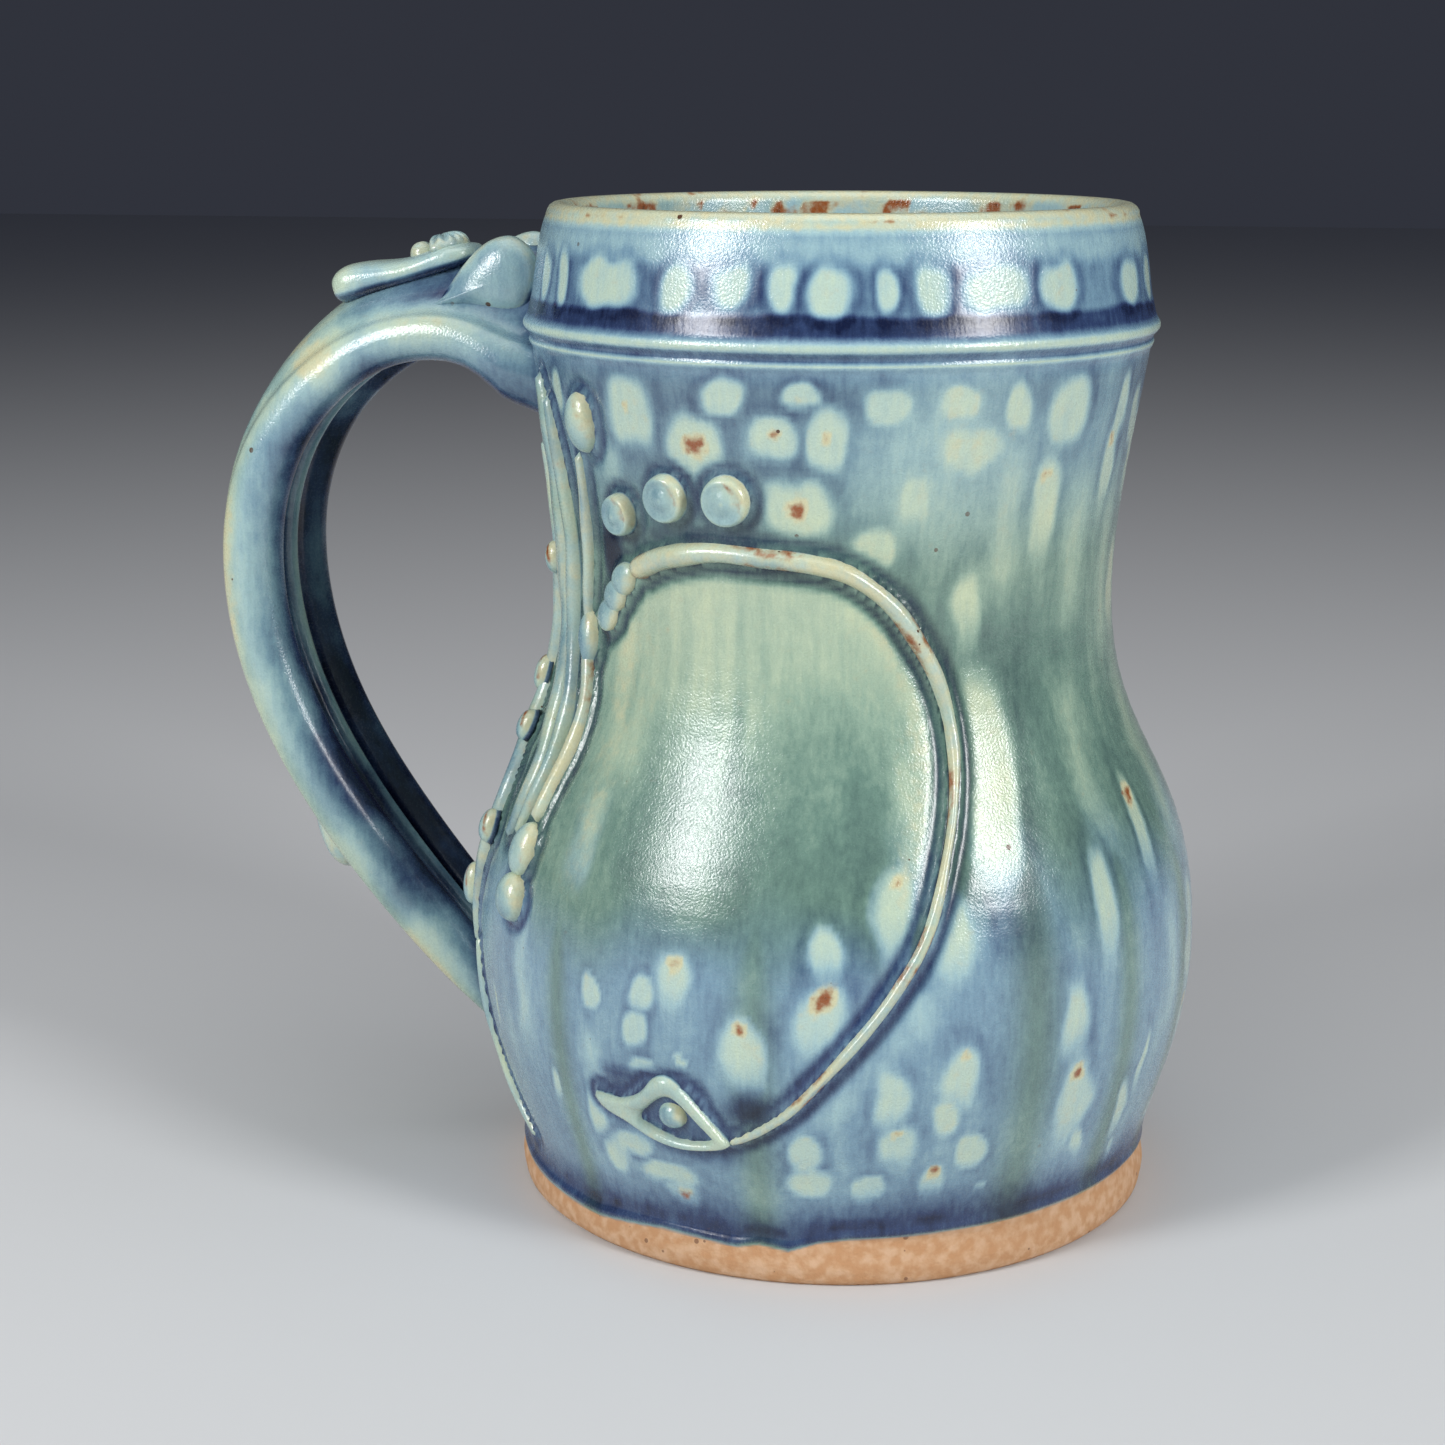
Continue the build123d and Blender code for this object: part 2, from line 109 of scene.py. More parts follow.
def flowing(points: np.ndarray, steps: int, closed: bool = False) -> np.ndarray:
    """Pass a Catmull-Rom curve through points.

    Args:
        points: the points, one per row.
        steps: samples in each span.
        closed: whether the last point joins the first.

    Returns:
        The samples, one per row.
    """
    points = np.asarray(points, dtype=float)
    count = len(points)
    share = np.linspace(0.0, 1.0, steps, endpoint=False)[:, None]
    rows = []
    for index in range(count if closed else count - 1):
        if closed:
            a, b, c, d = (points[(index + shift) % count] for shift in (-1, 0, 1, 2))
        else:
            a, b, c, d = (points[min(max(index + shift, 0), count - 1)] for shift in (-1, 0, 1, 2))
        rows.append(
            0.5 * (2 * b + (c - a) * share + (2 * a - 5 * b + 4 * c - d) * share**2
                   + (3 * b - 3 * c + d - a) * share**3)
        )
    if not closed:
        rows.append(points[-1:])
    return np.concatenate(rows)


class Flow:
    """Smooth random field over the unrolled wall, periodic in the angle."""

    def __init__(self, seed: int, around: int, up: int) -> None:
        """Draw the field's grid.

        Args:
            seed: seed of the random numbers.
            around: cells round the wall.
            up: cells over the wall's height.
        """
        self.grid = np.random.default_rng(seed).random((around, up + 2))
        self.around = around
        self.up = up

    def at(self, angle: np.ndarray, height: np.ndarray) -> np.ndarray:
        """Read the field.

        Args:
            angle: angles in degrees.
            height: heights in millimetres.

        Returns:
            Values from 0 to 1.
        """
        column = (np.asarray(angle) % 360.0) / 360.0 * self.around
        row = np.clip(np.asarray(height) / 150.0, 0.0, 0.999) * self.up
        c0, r0 = np.floor(column).astype(int), np.floor(row).astype(int)
        fc, fr = smooth(0, 1, column - c0), smooth(0, 1, row - r0)
        c0 %= self.around
        c1 = (c0 + 1) % self.around
        low = self.grid[c0, r0] * (1 - fc) + self.grid[c1, r0] * fc
        high = self.grid[c0, r0 + 1] * (1 - fc) + self.grid[c1, r0 + 1] * fc
        return low * (1 - fr) + high * fr


# ---------------------------------------------------------------------------
# The wall that everything is luted to


@dataclass
class WallShape:
    """Outline of the thrown wall, in millimetres."""

    rim_height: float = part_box("thrown_body")[1][2] / MM
    belly_radius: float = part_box("thrown_body")[1][0] / MM
    rim_radius: float = 42.0
    lip_thickness: float = 3.4
    collar_depth: float = 16.8
    ridge_radius: float = 45.5
    ridge_land: float = 2.4
    waist_height: float = 91.0
    waist_radius: float = 40.0
    belly_height: float = 38.0
    foot_radius: float = 47.5
    foot_neck_inset: float = 0.6
    foot_neck_height: float = 6.5
    foot_bevel: float = 1.0
    wall: float = 5.0
    floor_thickness: float = 7.0
    outside: np.ndarray = field(init=False)
    inside: np.ndarray = field(init=False)

    def __post_init__(self) -> None:
        """Draw the outside and inside outlines."""
        self.outside = self._outside()
        self.inside = self._inside()

    @property
    def ridge_height(self) -> float:
        """Height of the collar's ridge crest."""
        return self.rim_height - self.collar_depth

    def _outside(self) -> np.ndarray:
        """Sample the outside outline as (radius, height) from foot to rim.

        Returns:
            Rows of radius and height in mm.
        """
        neck = self.foot_radius - self.foot_neck_inset
        below = self.ridge_height - self.ridge_land
        belly_arm = (self.waist_height - self.belly_height) / 2
        collar_arm = (below - self.waist_height) / 3
        ridge, rim = self.ridge_radius, self.rim_radius
        foot = [
            (self.foot_radius - self.foot_bevel, 0.0),
            (self.foot_radius - 0.35, 0.7),
            (self.foot_radius, self.foot_bevel + 1.6),
        ]
        parts = [
            np.array(foot),
            bezier(
                [
                    (neck, self.foot_neck_height),
                    (neck + 1.0, self.foot_neck_height + 7.5),
                    (self.belly_radius, self.belly_height - 14.0),
                    (self.belly_radius, self.belly_height),
                ],
                40,
            ),
            bezier(
                [
                    (self.belly_radius, self.belly_height),
                    (self.belly_radius, self.belly_height + belly_arm + 1.0),
                    (self.waist_radius, self.waist_height - belly_arm + 1.0),
                    (self.waist_radius, self.waist_height),
                ],
                60,
            )[1:],
            bezier(
                [
                    (self.waist_radius, self.waist_height),
                    (self.waist_radius, self.waist_height + collar_arm),
                    (ridge - 2.6, below - collar_arm + 1.0),
                    (ridge - 1.3, below - 0.9),
                ],
                40,
            )[1:],
            np.array(self._ridge_outline()),
            bezier(
                [
                    (ridge - 1.0, self.ridge_height + 2.4),
                    (ridge - 1.7, self.ridge_height + 5.0),
                    (rim + 1.5, self.rim_height - 5.0),
                    (rim, self.rim_height - self.lip_thickness / 2),
                ],
                40,
            )[1:],
        ]
        return np.concatenate(parts)

    def _ridge_outline(self) -> list[tuple[float, float]]:
        """The fine line, the groove and the ridge crest, as (radius, height).

        Returns:
            Points from low to high, in mm.
        """
        steps = [(-0.98, -2.7), (-0.82, -2.3), (-0.98, -1.8), (-0.98, -1.4), (-0.45, -0.8), (-0.05, -0.35)]
        steps += [(0.0, 0.05), (-0.12, 0.5), (-0.45, 1.0), (-0.8, 1.6), (-1.0, 2.4)]
        return [(self.ridge_radius + out, self.ridge_height + up) for out, up in steps]

    def _inside(self) -> np.ndarray:
        """Sample the inside outline as (radius, height) from the lip to the floor.

        Returns:
            Rows of radius and height in mm.
        """
        lip_base = self.rim_height - self.lip_thickness / 2
        rim = self.rim_radius - self.lip_thickness
        belly = self.belly_radius - self.wall
        waist = self.waist_radius - self.wall
        foot = self.foot_radius - self.wall - self.floor_thickness
        arm = (self.waist_height - self.belly_height) / 2
        parts = [
            bezier([(rim, lip_base), (rim + 0.6, self.ridge_height), (waist, self.waist_height + arm),
                    (waist, self.waist_height)], 22),
            bezier([(waist, self.waist_height), (waist, self.waist_height - arm),
                    (belly, self.belly_height + arm),
                    (belly, self.belly_height)], 16)[1:],
            bezier([(belly, self.belly_height), (belly, self.belly_height - 15.0),
                    (foot + 8.0, self.floor_thickness + 1.0),
                    (foot, self.floor_thickness)], 16)[1:],
        ]
        return np.concatenate(parts)

    def radius(self, height: np.ndarray) -> np.ndarray:
        """Outside radius at a height."""
        return np.interp(height, self.outside[:, 1], self.outside[:, 0])

    def place(self, angle: np.ndarray, height: np.ndarray, lift: np.ndarray) -> np.ndarray:
        """Places over the wall.

        Args:
            angle: angles from the handle towards the decorated flank, in degrees.
            height: heights.
            lift: distances off the wall, along its normal.

        Returns:
            Points, one per row.
        """
        angle, height, lift = np.broadcast_arrays(*(np.asarray(v, dtype=float)
                                                    for v in (angle, height, lift)))
        slope = (self.radius(height + 0.6) - self.radius(height - 0.6)) / 1.2
        length = np.sqrt(1.0 + slope**2)
        radius = self.radius(height) + lift / length
        turn = np.radians(angle)
        return np.stack([-radius * np.cos(turn), -radius * np.sin(turn), height - lift * slope / length],
                        axis=-1)

    def patch(self, angle: float, height: float, turn: float, across: np.ndarray, along: np.ndarray,
              lift: np.ndarray) -> np.ndarray:
        """Lay flat drawing coordinates on the wall around a place.

        Args:
            angle: angle of the place.
            height: height of the place.
            turn: turn of the drawing, anticlockwise as seen from outside, in degrees.
            across: drawing coordinates to the right.
            along: drawing coordinates up the wall.
            lift: distances off the wall.

        Returns:
            Points, one per row.
        """
        c, s = math.cos(math.radians(turn)), math.sin(math.radians(turn))
        right, up = across * c - along * s, across * s + along * c
        slope = float(self.radius(height + 1) - self.radius(height - 1)) / 2
        heights = height + up / math.sqrt(1 + slope**2)
        angles = angle + np.degrees(right / self.radius(heights))
        return self.place(angles, heights, lift)


# ---------------------------------------------------------------------------
# Meshes


class Mesh:
    """Points, faces and glaze masks gathered for one piece, in millimetres."""

    def __init__(self) -> None:
        """Start empty."""
        self.points: list[np.ndarray] = []
        self.faces: list[tuple[int, ...]] = []
        self.masks: dict[Mask, list[np.ndarray]] = {mask: [] for mask in Mask}
        self.count = 0

    def add(self, points: np.ndarray, **masks: np.ndarray) -> int:
        """Add points.

        Args:
            points: the points, one per row.
            **masks: mask values by lower-case mask name; those left out are 0.

        Returns:
            Index of the first point added.
        """
        first = self.count
        self.points.append(points)
        for mask in Mask:
            values = masks.get(mask.value, 0.0)
            self.masks[mask].append(np.broadcast_to(np.asarray(values, dtype=float), (len(points),)))
        self.count += len(points)
        return first

    def grid(self, rows: int, columns: int, first: int, around: bool = True, flip: bool = False) -> None:
        """Join a grid of points that are already added.

        Args:
            rows: number of rows.
            columns: points in each row.
            first: index of the grid's first point.
            around: whether each row closes on itself.
            flip: whether the faces look the other way.
        """
        for row in range(rows - 1):
            for column in range(columns if around else columns - 1):
                after = (column + 1) % columns
                a, b = first + row * columns + column, first + row * columns + after
                c, d = b + columns, a + columns
                self.faces.append((a, d, c, b) if flip else (a, b, c, d))

    def cap(self, ring: range, centre: np.ndarray, flip: bool = False, **masks: float) -> None:
        """Close a ring of points with a fan.

        Args:
            ring: indices of the ring.
            centre: middle of the fan.
            flip: whether the faces look the other way.
            **masks: mask values of the middle.
        """
        middle = self.add(np.asarray(centre, dtype=float)[None, :], **masks)
        ring = list(ring)
        for index, point in enumerate(ring):
            after = ring[(index + 1) % len(ring)]
            self.faces.append((middle, after, point) if flip else (middle, point, after))

    def build(self, name: str, finish: "Finish", replaced: list[str]) -> bpy.types.Object:
        """Make the Blender object, dress it and hand it to the frame.

        Args:
            name: name of the piece.
            finish: its finish.
            replaced: CAD nodes that it stands for.

        Returns:
            The object.
        """
        mesh = bpy.data.meshes.new(name)
        mesh.from_pydata((np.concatenate(self.points) * MM).tolist(), [], self.faces)
        whole = bmesh.new()
        whole.from_mesh(mesh)
        bmesh.ops.recalc_face_normals(whole, faces=whole.faces)
        whole.to_mesh(mesh)
        whole.free()
        for mask, values in self.masks.items():
            layer = mesh.attributes.new(mask.value, "FLOAT", "POINT")
            layer.data.foreach_set("value", np.clip(np.concatenate(values), 0.0, 1.0).astype(np.float32))
        mesh.shade_smooth()
        mesh.materials.append(finish.material())
        piece = bpy.data.objects.new(name, mesh)
        bpy.context.scene.collection.objects.link(piece)
        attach(piece, ROOT)
        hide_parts(*replaced)
        LOG.info("%s: %d points, stands for %s", name, self.count, ", ".join(replaced))
        return piece


# ---------------------------------------------------------------------------
# Finishes


def socket(group: bpy.types.NodeTree, name: str, kind: str, side: str, value: float | None = None) -> None:
    """Add a named socket to a node group.

    Args:
        group: the group.
        name: the socket's name.
        kind: Float, Color or Vector.
        side: INPUT or OUTPUT.
        value: default of a Float input.
    """
    made = group.interface.new_socket(name=name, in_out=side, socket_type=f"NodeSocket{kind}")
    if value is not None:
        made.default_value = value


class Wiring:
    """Short ways to add and link nodes in one tree."""

    def __init__(self, tree: bpy.types.NodeTree) -> None:
        """Keep the tree."""
        self.tree = tree

    def node(self, kind: str, inputs: dict | None = None, **settings: object) -> bpy.types.Node:
        """Add a node.

        Args:
            kind: type name without its ShaderNode prefix.
            inputs: values or output sockets by input name or number.
            **settings: properties of the node.

        Returns:
            The node.
        """
        made = self.tree.nodes.new(kind if kind.startswith("Node") else f"ShaderNode{kind}")
        for name, value in settings.items():
            setattr(made, name, value)
        for name, value in (inputs or {}).items():
            if isinstance(value, bpy.types.NodeSocket):
                self.tree.links.new(value, made.inputs[name])
            else:
                made.inputs[name].default_value = value
        return made

    def math(self, operation: str, *values: object, clamp: bool = False) -> bpy.types.NodeSocket:
        """Add a Math node and return its result."""
        return self.node("Math", dict(enumerate(values)), operation=operation, use_clamp=clamp).outputs[0]

    def remap(self, value: bpy.types.NodeSocket, low: float, high: float, start: float = 0.0,
              end: float = 1.0) -> bpy.types.NodeSocket:
        """Ease a value from low..high to start..end and return it."""
        settings = {"Value": value, "From Min": low, "From Max": high, "To Min": start, "To Max": end}
        return self.node("MapRange", settings, interpolation_type="SMOOTHSTEP").outputs[0]

    def mix(self, share: object, first: object, second: object) -> bpy.types.NodeSocket:
        """Mix two colours and return the result.

        Args:
            share: how much of the second colour shows, as a socket or a number.
            first: colour at none, as a socket or a value.
            second: colour at full, as a socket or a value.

        Returns:
            The socket of the mixed colour.
        """
        made = self.node("Mix", data_type="RGBA")
        for index, value in ((0, share), (6, first), (7, second)):
            if isinstance(value, bpy.types.NodeSocket):
                self.tree.links.new(value, made.inputs[index])
            else:
                made.inputs[index].default_value = value
        return made.outputs[2]

    def noise(self, place: bpy.types.NodeSocket, scale: float, detail: float = 2.0) -> bpy.types.NodeSocket:
        """Read a noise texture and return its value."""
        return self.node("TexNoise", {"Vector": place, "Scale": scale, "Detail": detail}).outputs[0]

    def ramp(self, share: bpy.types.NodeSocket, stops: list[tuple[float, tuple[float, float, float]]]
             ) -> bpy.types.NodeSocket:
        """Colour a value by a ramp of (place, colour) stops and return the colour.

        Args:
            share: value that is looked up on the ramp.
            stops: places from 0 to 1, each with its colour.

        Returns:
            The socket of the colour.
        """
        made = self.node("ValToRGB", {0: share})
        elements = made.color_ramp.elements
        while len(elements) < len(stops):
            elements.new(0.5)
        for element, (place, colour) in zip(elements, stops):
            element.position = place
            element.color = (*colour, 1.0)
        return made.outputs[0]


BLUE_DEPTHS = [
    (0.00, (0.56, 0.70, 0.56)),
    (0.14, (0.47, 0.64, 0.59)),
    (0.30, (0.35, 0.54, 0.585)),
    (0.50, (0.195, 0.340, 0.450)),
    (0.68, (0.095, 0.175, 0.285)),
    (0.85, (0.030, 0.055, 0.14)),
    (1.00, (0.006, 0.012, 0.045)),
]
GREEN_DEPTHS = [
    (0.00, (0.60, 0.69, 0.46)),
    (0.16, (0.46, 0.58, 0.42)),
    (0.32, (0.30, 0.44, 0.34)),
    (0.50, (0.155, 0.270, 0.220)),
    (0.68, (0.080, 0.150, 0.135)),
    (0.85, (0.028, 0.055, 0.080)),
    (1.00, (0.006, 0.012, 0.030)),
]
CREAM = (0.66, 0.64, 0.40, 1.0)
IRON = (0.30, 0.085, 0.018, 1.0)
DARK_IRON = (0.045, 0.016, 0.008, 1.0)


def breaking_glaze() -> bpy.types.NodeTree:
    """Group that colours a glaze which breaks pale where thin and goes navy where it pools; the pool mask
    also brings painted shade and the thin mask one painted highlight.

    Returns:
        The group, built on the first call.
    """
    name = "breaking_glaze"
    if name in bpy.data.node_groups:
        return bpy.data.node_groups[name]
    group = bpy.data.node_groups.new(name, "ShaderNodeTree")
    for mask in (Mask.THIN, Mask.POOL, Mask.GREEN, Mask.WARM, Mask.RUST):
        socket(group, mask.value.title(), "Float", "INPUT", 0.0)
    socket(group, "Specks", "Float", "INPUT", 1.0)
    socket(group, "Tides", "Float", "INPUT", 0.15)
    socket(group, "Tide Scale", "Float", "INPUT", 90.0)
    socket(group, "Gloss", "Float", "INPUT", 0.6)
    for output, kind in (("Color", "Color"), ("Roughness", "Float"), ("Coat", "Float"),
                         ("Height", "Float")):
        socket(group, output, kind, "OUTPUT")
    wire = Wiring(group)
    given = wire.node("NodeGroupInput").outputs
    place = wire.node("TexCoord").outputs["Object"]
    running = wire.node("Mapping", {"Vector": place, "Scale": (1.0, 1.0, 0.16)}).outputs[0]

    # How deep the glaze lies, with the fine streaks that it runs in.
    streaks = wire.math("SUBTRACT", wire.noise(running, 1500.0, 3.0), 0.5)
    clouds = wire.math("SUBTRACT", wire.noise(running, 260.0, 4.0), 0.5)
    mottle = wire.math("SUBTRACT", wire.noise(place, 700.0, 5.0), 0.5)
    tides = wire.math("SUBTRACT", wire.noise(place, given["Tide Scale"], 3.0), 0.5)
    depth = wire.math("MULTIPLY_ADD", given["Pool"], 0.5, 0.5)
    depth = wire.math("MULTIPLY_ADD", given["Thin"], -0.5, depth)
    depth = wire.math("MULTIPLY_ADD", streaks, 0.20, depth)
    depth = wire.math("MULTIPLY_ADD", clouds, 0.22, depth)
    depth = wire.math("MULTIPLY_ADD", tides, given["Tides"], depth)
    depth = wire.math("MULTIPLY_ADD", mottle, 0.16, depth, clamp=True)
    colour = wire.mix(given["Green"], wire.ramp(depth, BLUE_DEPTHS), wire.ramp(depth, GREEN_DEPTHS))
    warmth = wire.math("MULTIPLY_ADD", mottle, 1.2, given["Warm"])
    warmth = wire.math("MULTIPLY", wire.remap(warmth, 0.15, 1.0), wire.remap(depth, 0.60, 0.20), clamp=True)
    colour = wire.mix(warmth, colour, CREAM)

    # Iron bleeding through, with a dark heart, and fine specks where the glaze is thin.
    ragged = wire.math("MULTIPLY_ADD", mottle, 1.3, given["Rust"])
    colour = wire.mix(wire.remap(ragged, 0.25, 0.85), colour, IRON)
    colour = wire.mix(wire.remap(ragged, 0.86, 1.15, 0.0, 0.7), colour, DARK_IRON)
    cells = wire.node("TexVoronoi", {"Vector": place, "Scale": 560.0}, feature="F1").outputs
    size = wire.remap(cells["Color"], 0.80, 1.0, 0.0, 0.27)
    speck = wire.math("LESS_THAN", wire.math("MULTIPLY", cells["Distance"], 1.0), size)
    speck = wire.math("MULTIPLY", speck, wire.remap(depth, 0.55, 0.25))
    speck = wire.math("MULTIPLY", speck, given["Specks"], clamp=True)
    colour = wire.mix(speck, colour, (0.10, 0.045, 0.02, 1.0))

    # Satin where the glaze is matt with crystals, glossy where it pools.
    crystals = wire.noise(place, 3000.0, 2.0)
    satin = wire.remap(depth, 0.45, 0.95, 0.28, 0.26)
    rough = wire.math("MULTIPLY_ADD", wire.math("SUBTRACT", crystals, 0.5), 0.22, satin)
    grain = wire.math("MULTIPLY", crystals, wire.remap(depth, 0.9, 0.3, 0.15, 1.0))
    height = wire.math("MULTIPLY_ADD", streaks, 0.35, grain)
    coat = wire.math("MULTIPLY", wire.remap(depth, 0.55, 0.85, 1.0, 0.15), given["Gloss"])
    results = {"Color": colour, "Roughness": rough, "Coat": coat, "Height": height}
    wire.node("NodeGroupOutput", results)
    return group


@dataclass(frozen=True)
class Finish:
    """A glaze finish, as it lies on one family of pieces."""

    name: str
    slot: str
    specks: float
    relief: float
    gloss: float
    tides: float
    has_clay: bool

    def material(self) -> bpy.types.Material:
        """Build the material, or find it if it is built already.

        Returns:
            The finish as a material.
        """
        if self.name in bpy.data.materials:
            return bpy.data.materials[self.name]
        made = bpy.data.materials.new(self.name)
        made.use_nodes = True
        made.node_tree.nodes.clear()
        wire = Wiring(made.node_tree)
        masks = {mask: wire.node("Attribute", attribute_name=mask.value).outputs["Fac"] for mask in Mask}
        glaze = wire.node("Group", node_tree=breaking_glaze())
        for mask in (Mask.THIN, Mask.POOL, Mask.GREEN, Mask.WARM, Mask.RUST):
            made.node_tree.links.new(masks[mask], glaze.inputs[mask.value.title()])
        glaze.inputs["Specks"].default_value = self.specks
        glaze.inputs["Tides"].default_value = self.tides
        glaze.inputs["Gloss"].default_value = self.gloss
        colour, rough, coat, height = (glaze.outputs[name]
                                       for name in ("Color", "Roughness", "Coat", "Height"))
        if self.has_clay:
            bare = masks[Mask.CLAY]
            clay_colour, clay_height = self.stoneware(wire)
            colour = wire.mix(bare, colour, clay_colour)
            rough = wire.math("MULTIPLY_ADD", wire.math("SUBTRACT", 0.85, rough), bare, rough)
            coat = wire.math("MULTIPLY", coat, wire.math("SUBTRACT", 1.0, bare))
            height = wire.node("Mix", {0: bare, 2: height, 3: clay_height}).outputs[0]
        bump = wire.node("Bump", {"Height": height, "Strength": 0.55, "Distance": self.relief * MM})
        shader = wire.node(
            "BsdfPrincipled",
            {"Base Color": colour, "Roughness": rough, "Normal": bump.outputs[0], "IOR": 1.52,
             "Coat Weight": coat, "Coat Roughness": 0.19, "Coat Normal": bump.outputs[0]},
        )
        wire.node("OutputMaterial", {"Surface": shader.outputs[0]})
        return made

    def stoneware(self, wire: Wiring) -> tuple[bpy.types.NodeSocket, bpy.types.NodeSocket]:
        """Nodes of the bare speckled clay.

        Args:
            wire: tree to add them to.

        Returns:
            Its colour and its height.
        """
        place = wire.node("TexCoord").outputs["Object"]
        body = wire.noise(place, 600.0, 6.0)
        colour = wire.mix(wire.remap(body, 0.35, 0.70), (0.58, 0.31, 0.15, 1.0), (0.70, 0.455, 0.28, 1.0))
        cells = wire.node("TexVoronoi", {"Vector": place, "Scale": 760.0}, feature="F1").outputs
        dark = wire.math("LESS_THAN", cells["Distance"], wire.remap(cells["Color"], 0.74, 1.0, 0.0, 0.42))
        colour = wire.mix(wire.math("MULTIPLY", dark, 0.7), colour, (0.17, 0.07, 0.035, 1.0))
        grog = wire.noise(place, 2200.0, 3.0)
        return colour, wire.math("MULTIPLY_ADD", grog, 2.0, body)


BODY_GLAZE = Finish("GlazedBody", "body_glaze", 1.0, 0.13, 0.8, 0.25, True)
HANDLE_GLAZE = Finish("GlazedHandle", "handle_glaze", 1.0, 0.10, 0.7, 0.80, False)
SPRIG_GLAZE = Finish("GlazedSprigs", "sprig_glaze", 1.0, 0.08, 0.6, 0.70, False)


# ---------------------------------------------------------------------------
# Glaze spots


class Break(Enum):
    """Ways in which the glaze breaks pale."""

    WINDOW = "window"  # an even patch with soft corners
    TEAR = "tear"      # narrow at its top, wider and fading as it runs
    STREAK = "streak"  # long, soft and faint


@dataclass(frozen=True)
class Spot:
    """A pale patch in the glaze: where its middle is, its size, and the iron in its head."""

    angle: float
    height: float
    width: float
    length: float
    iron: float = 0.0
    kind: Break = Break.TEAR

    def strength(self, wall: WallShape, angle: np.ndarray, height: np.ndarray
                 ) -> tuple[np.ndarray, np.ndarray, np.ndarray]:
        """How strongly it shows at places on the wall.

        Args:
            wall: the wall it lies on.
            angle: angles of the places.
            height: heights of the places.

        Returns:
            The pale mask, the ring of deeper glaze round it, and the iron mask.
        """
        turn = (angle - self.angle + 180.0) % 360.0 - 180.0
        across = np.radians(turn) * wall.radius(height) / (self.width / 2)
        down = (self.height - height) / (self.length / 2)
        ring = np.zeros_like(across)
        if self.kind is Break.WINDOW:
            reach = (np.abs(across) ** 2.4 + np.abs(down) ** 2.4) ** (1 / 2.4)
            pale = 1.0 - smooth(0.72, 1.30, reach)
            ring = np.exp(-(((reach - 1.45) / 0.30) ** 2))
        elif self.kind is Break.STREAK:
            pale = 0.62 * np.exp(-(across**2) * 0.9) * (1.0 - smooth(0.45, 1.5, np.abs(down)))
        else:
            waist = 0.84 + 0.16 * smooth(-1.0, 0.2, down)
            drop = np.where(down < 0, np.abs(down), 0.5 * down)
            reach = (np.abs(across / waist) ** 2.5 + drop**2.5) ** 0.4
            pale = (1.0 - smooth(0.55, 1.20, reach)) * (1.0 - 0.8 * smooth(0.1, 1.6, down))
            ring = np.exp(-(((reach - 1.45) / 0.30) ** 2)) * (1.0 - smooth(0.2, 1.2, down))
        iron = np.zeros_like(pale)
        if self.iron > 0.0:
            size = 0.55 + 0.75 * self.iron
            top = self.height + self.length * (0.30 if self.kind is Break.TEAR else 0.05)
            near = np.hypot(np.radians(turn) * wall.radius(height), height - top) / size
            iron = (0.45 + 0.55 * self.iron) * np.exp(-(near**2) * 0.8)
        return pale, ring, iron


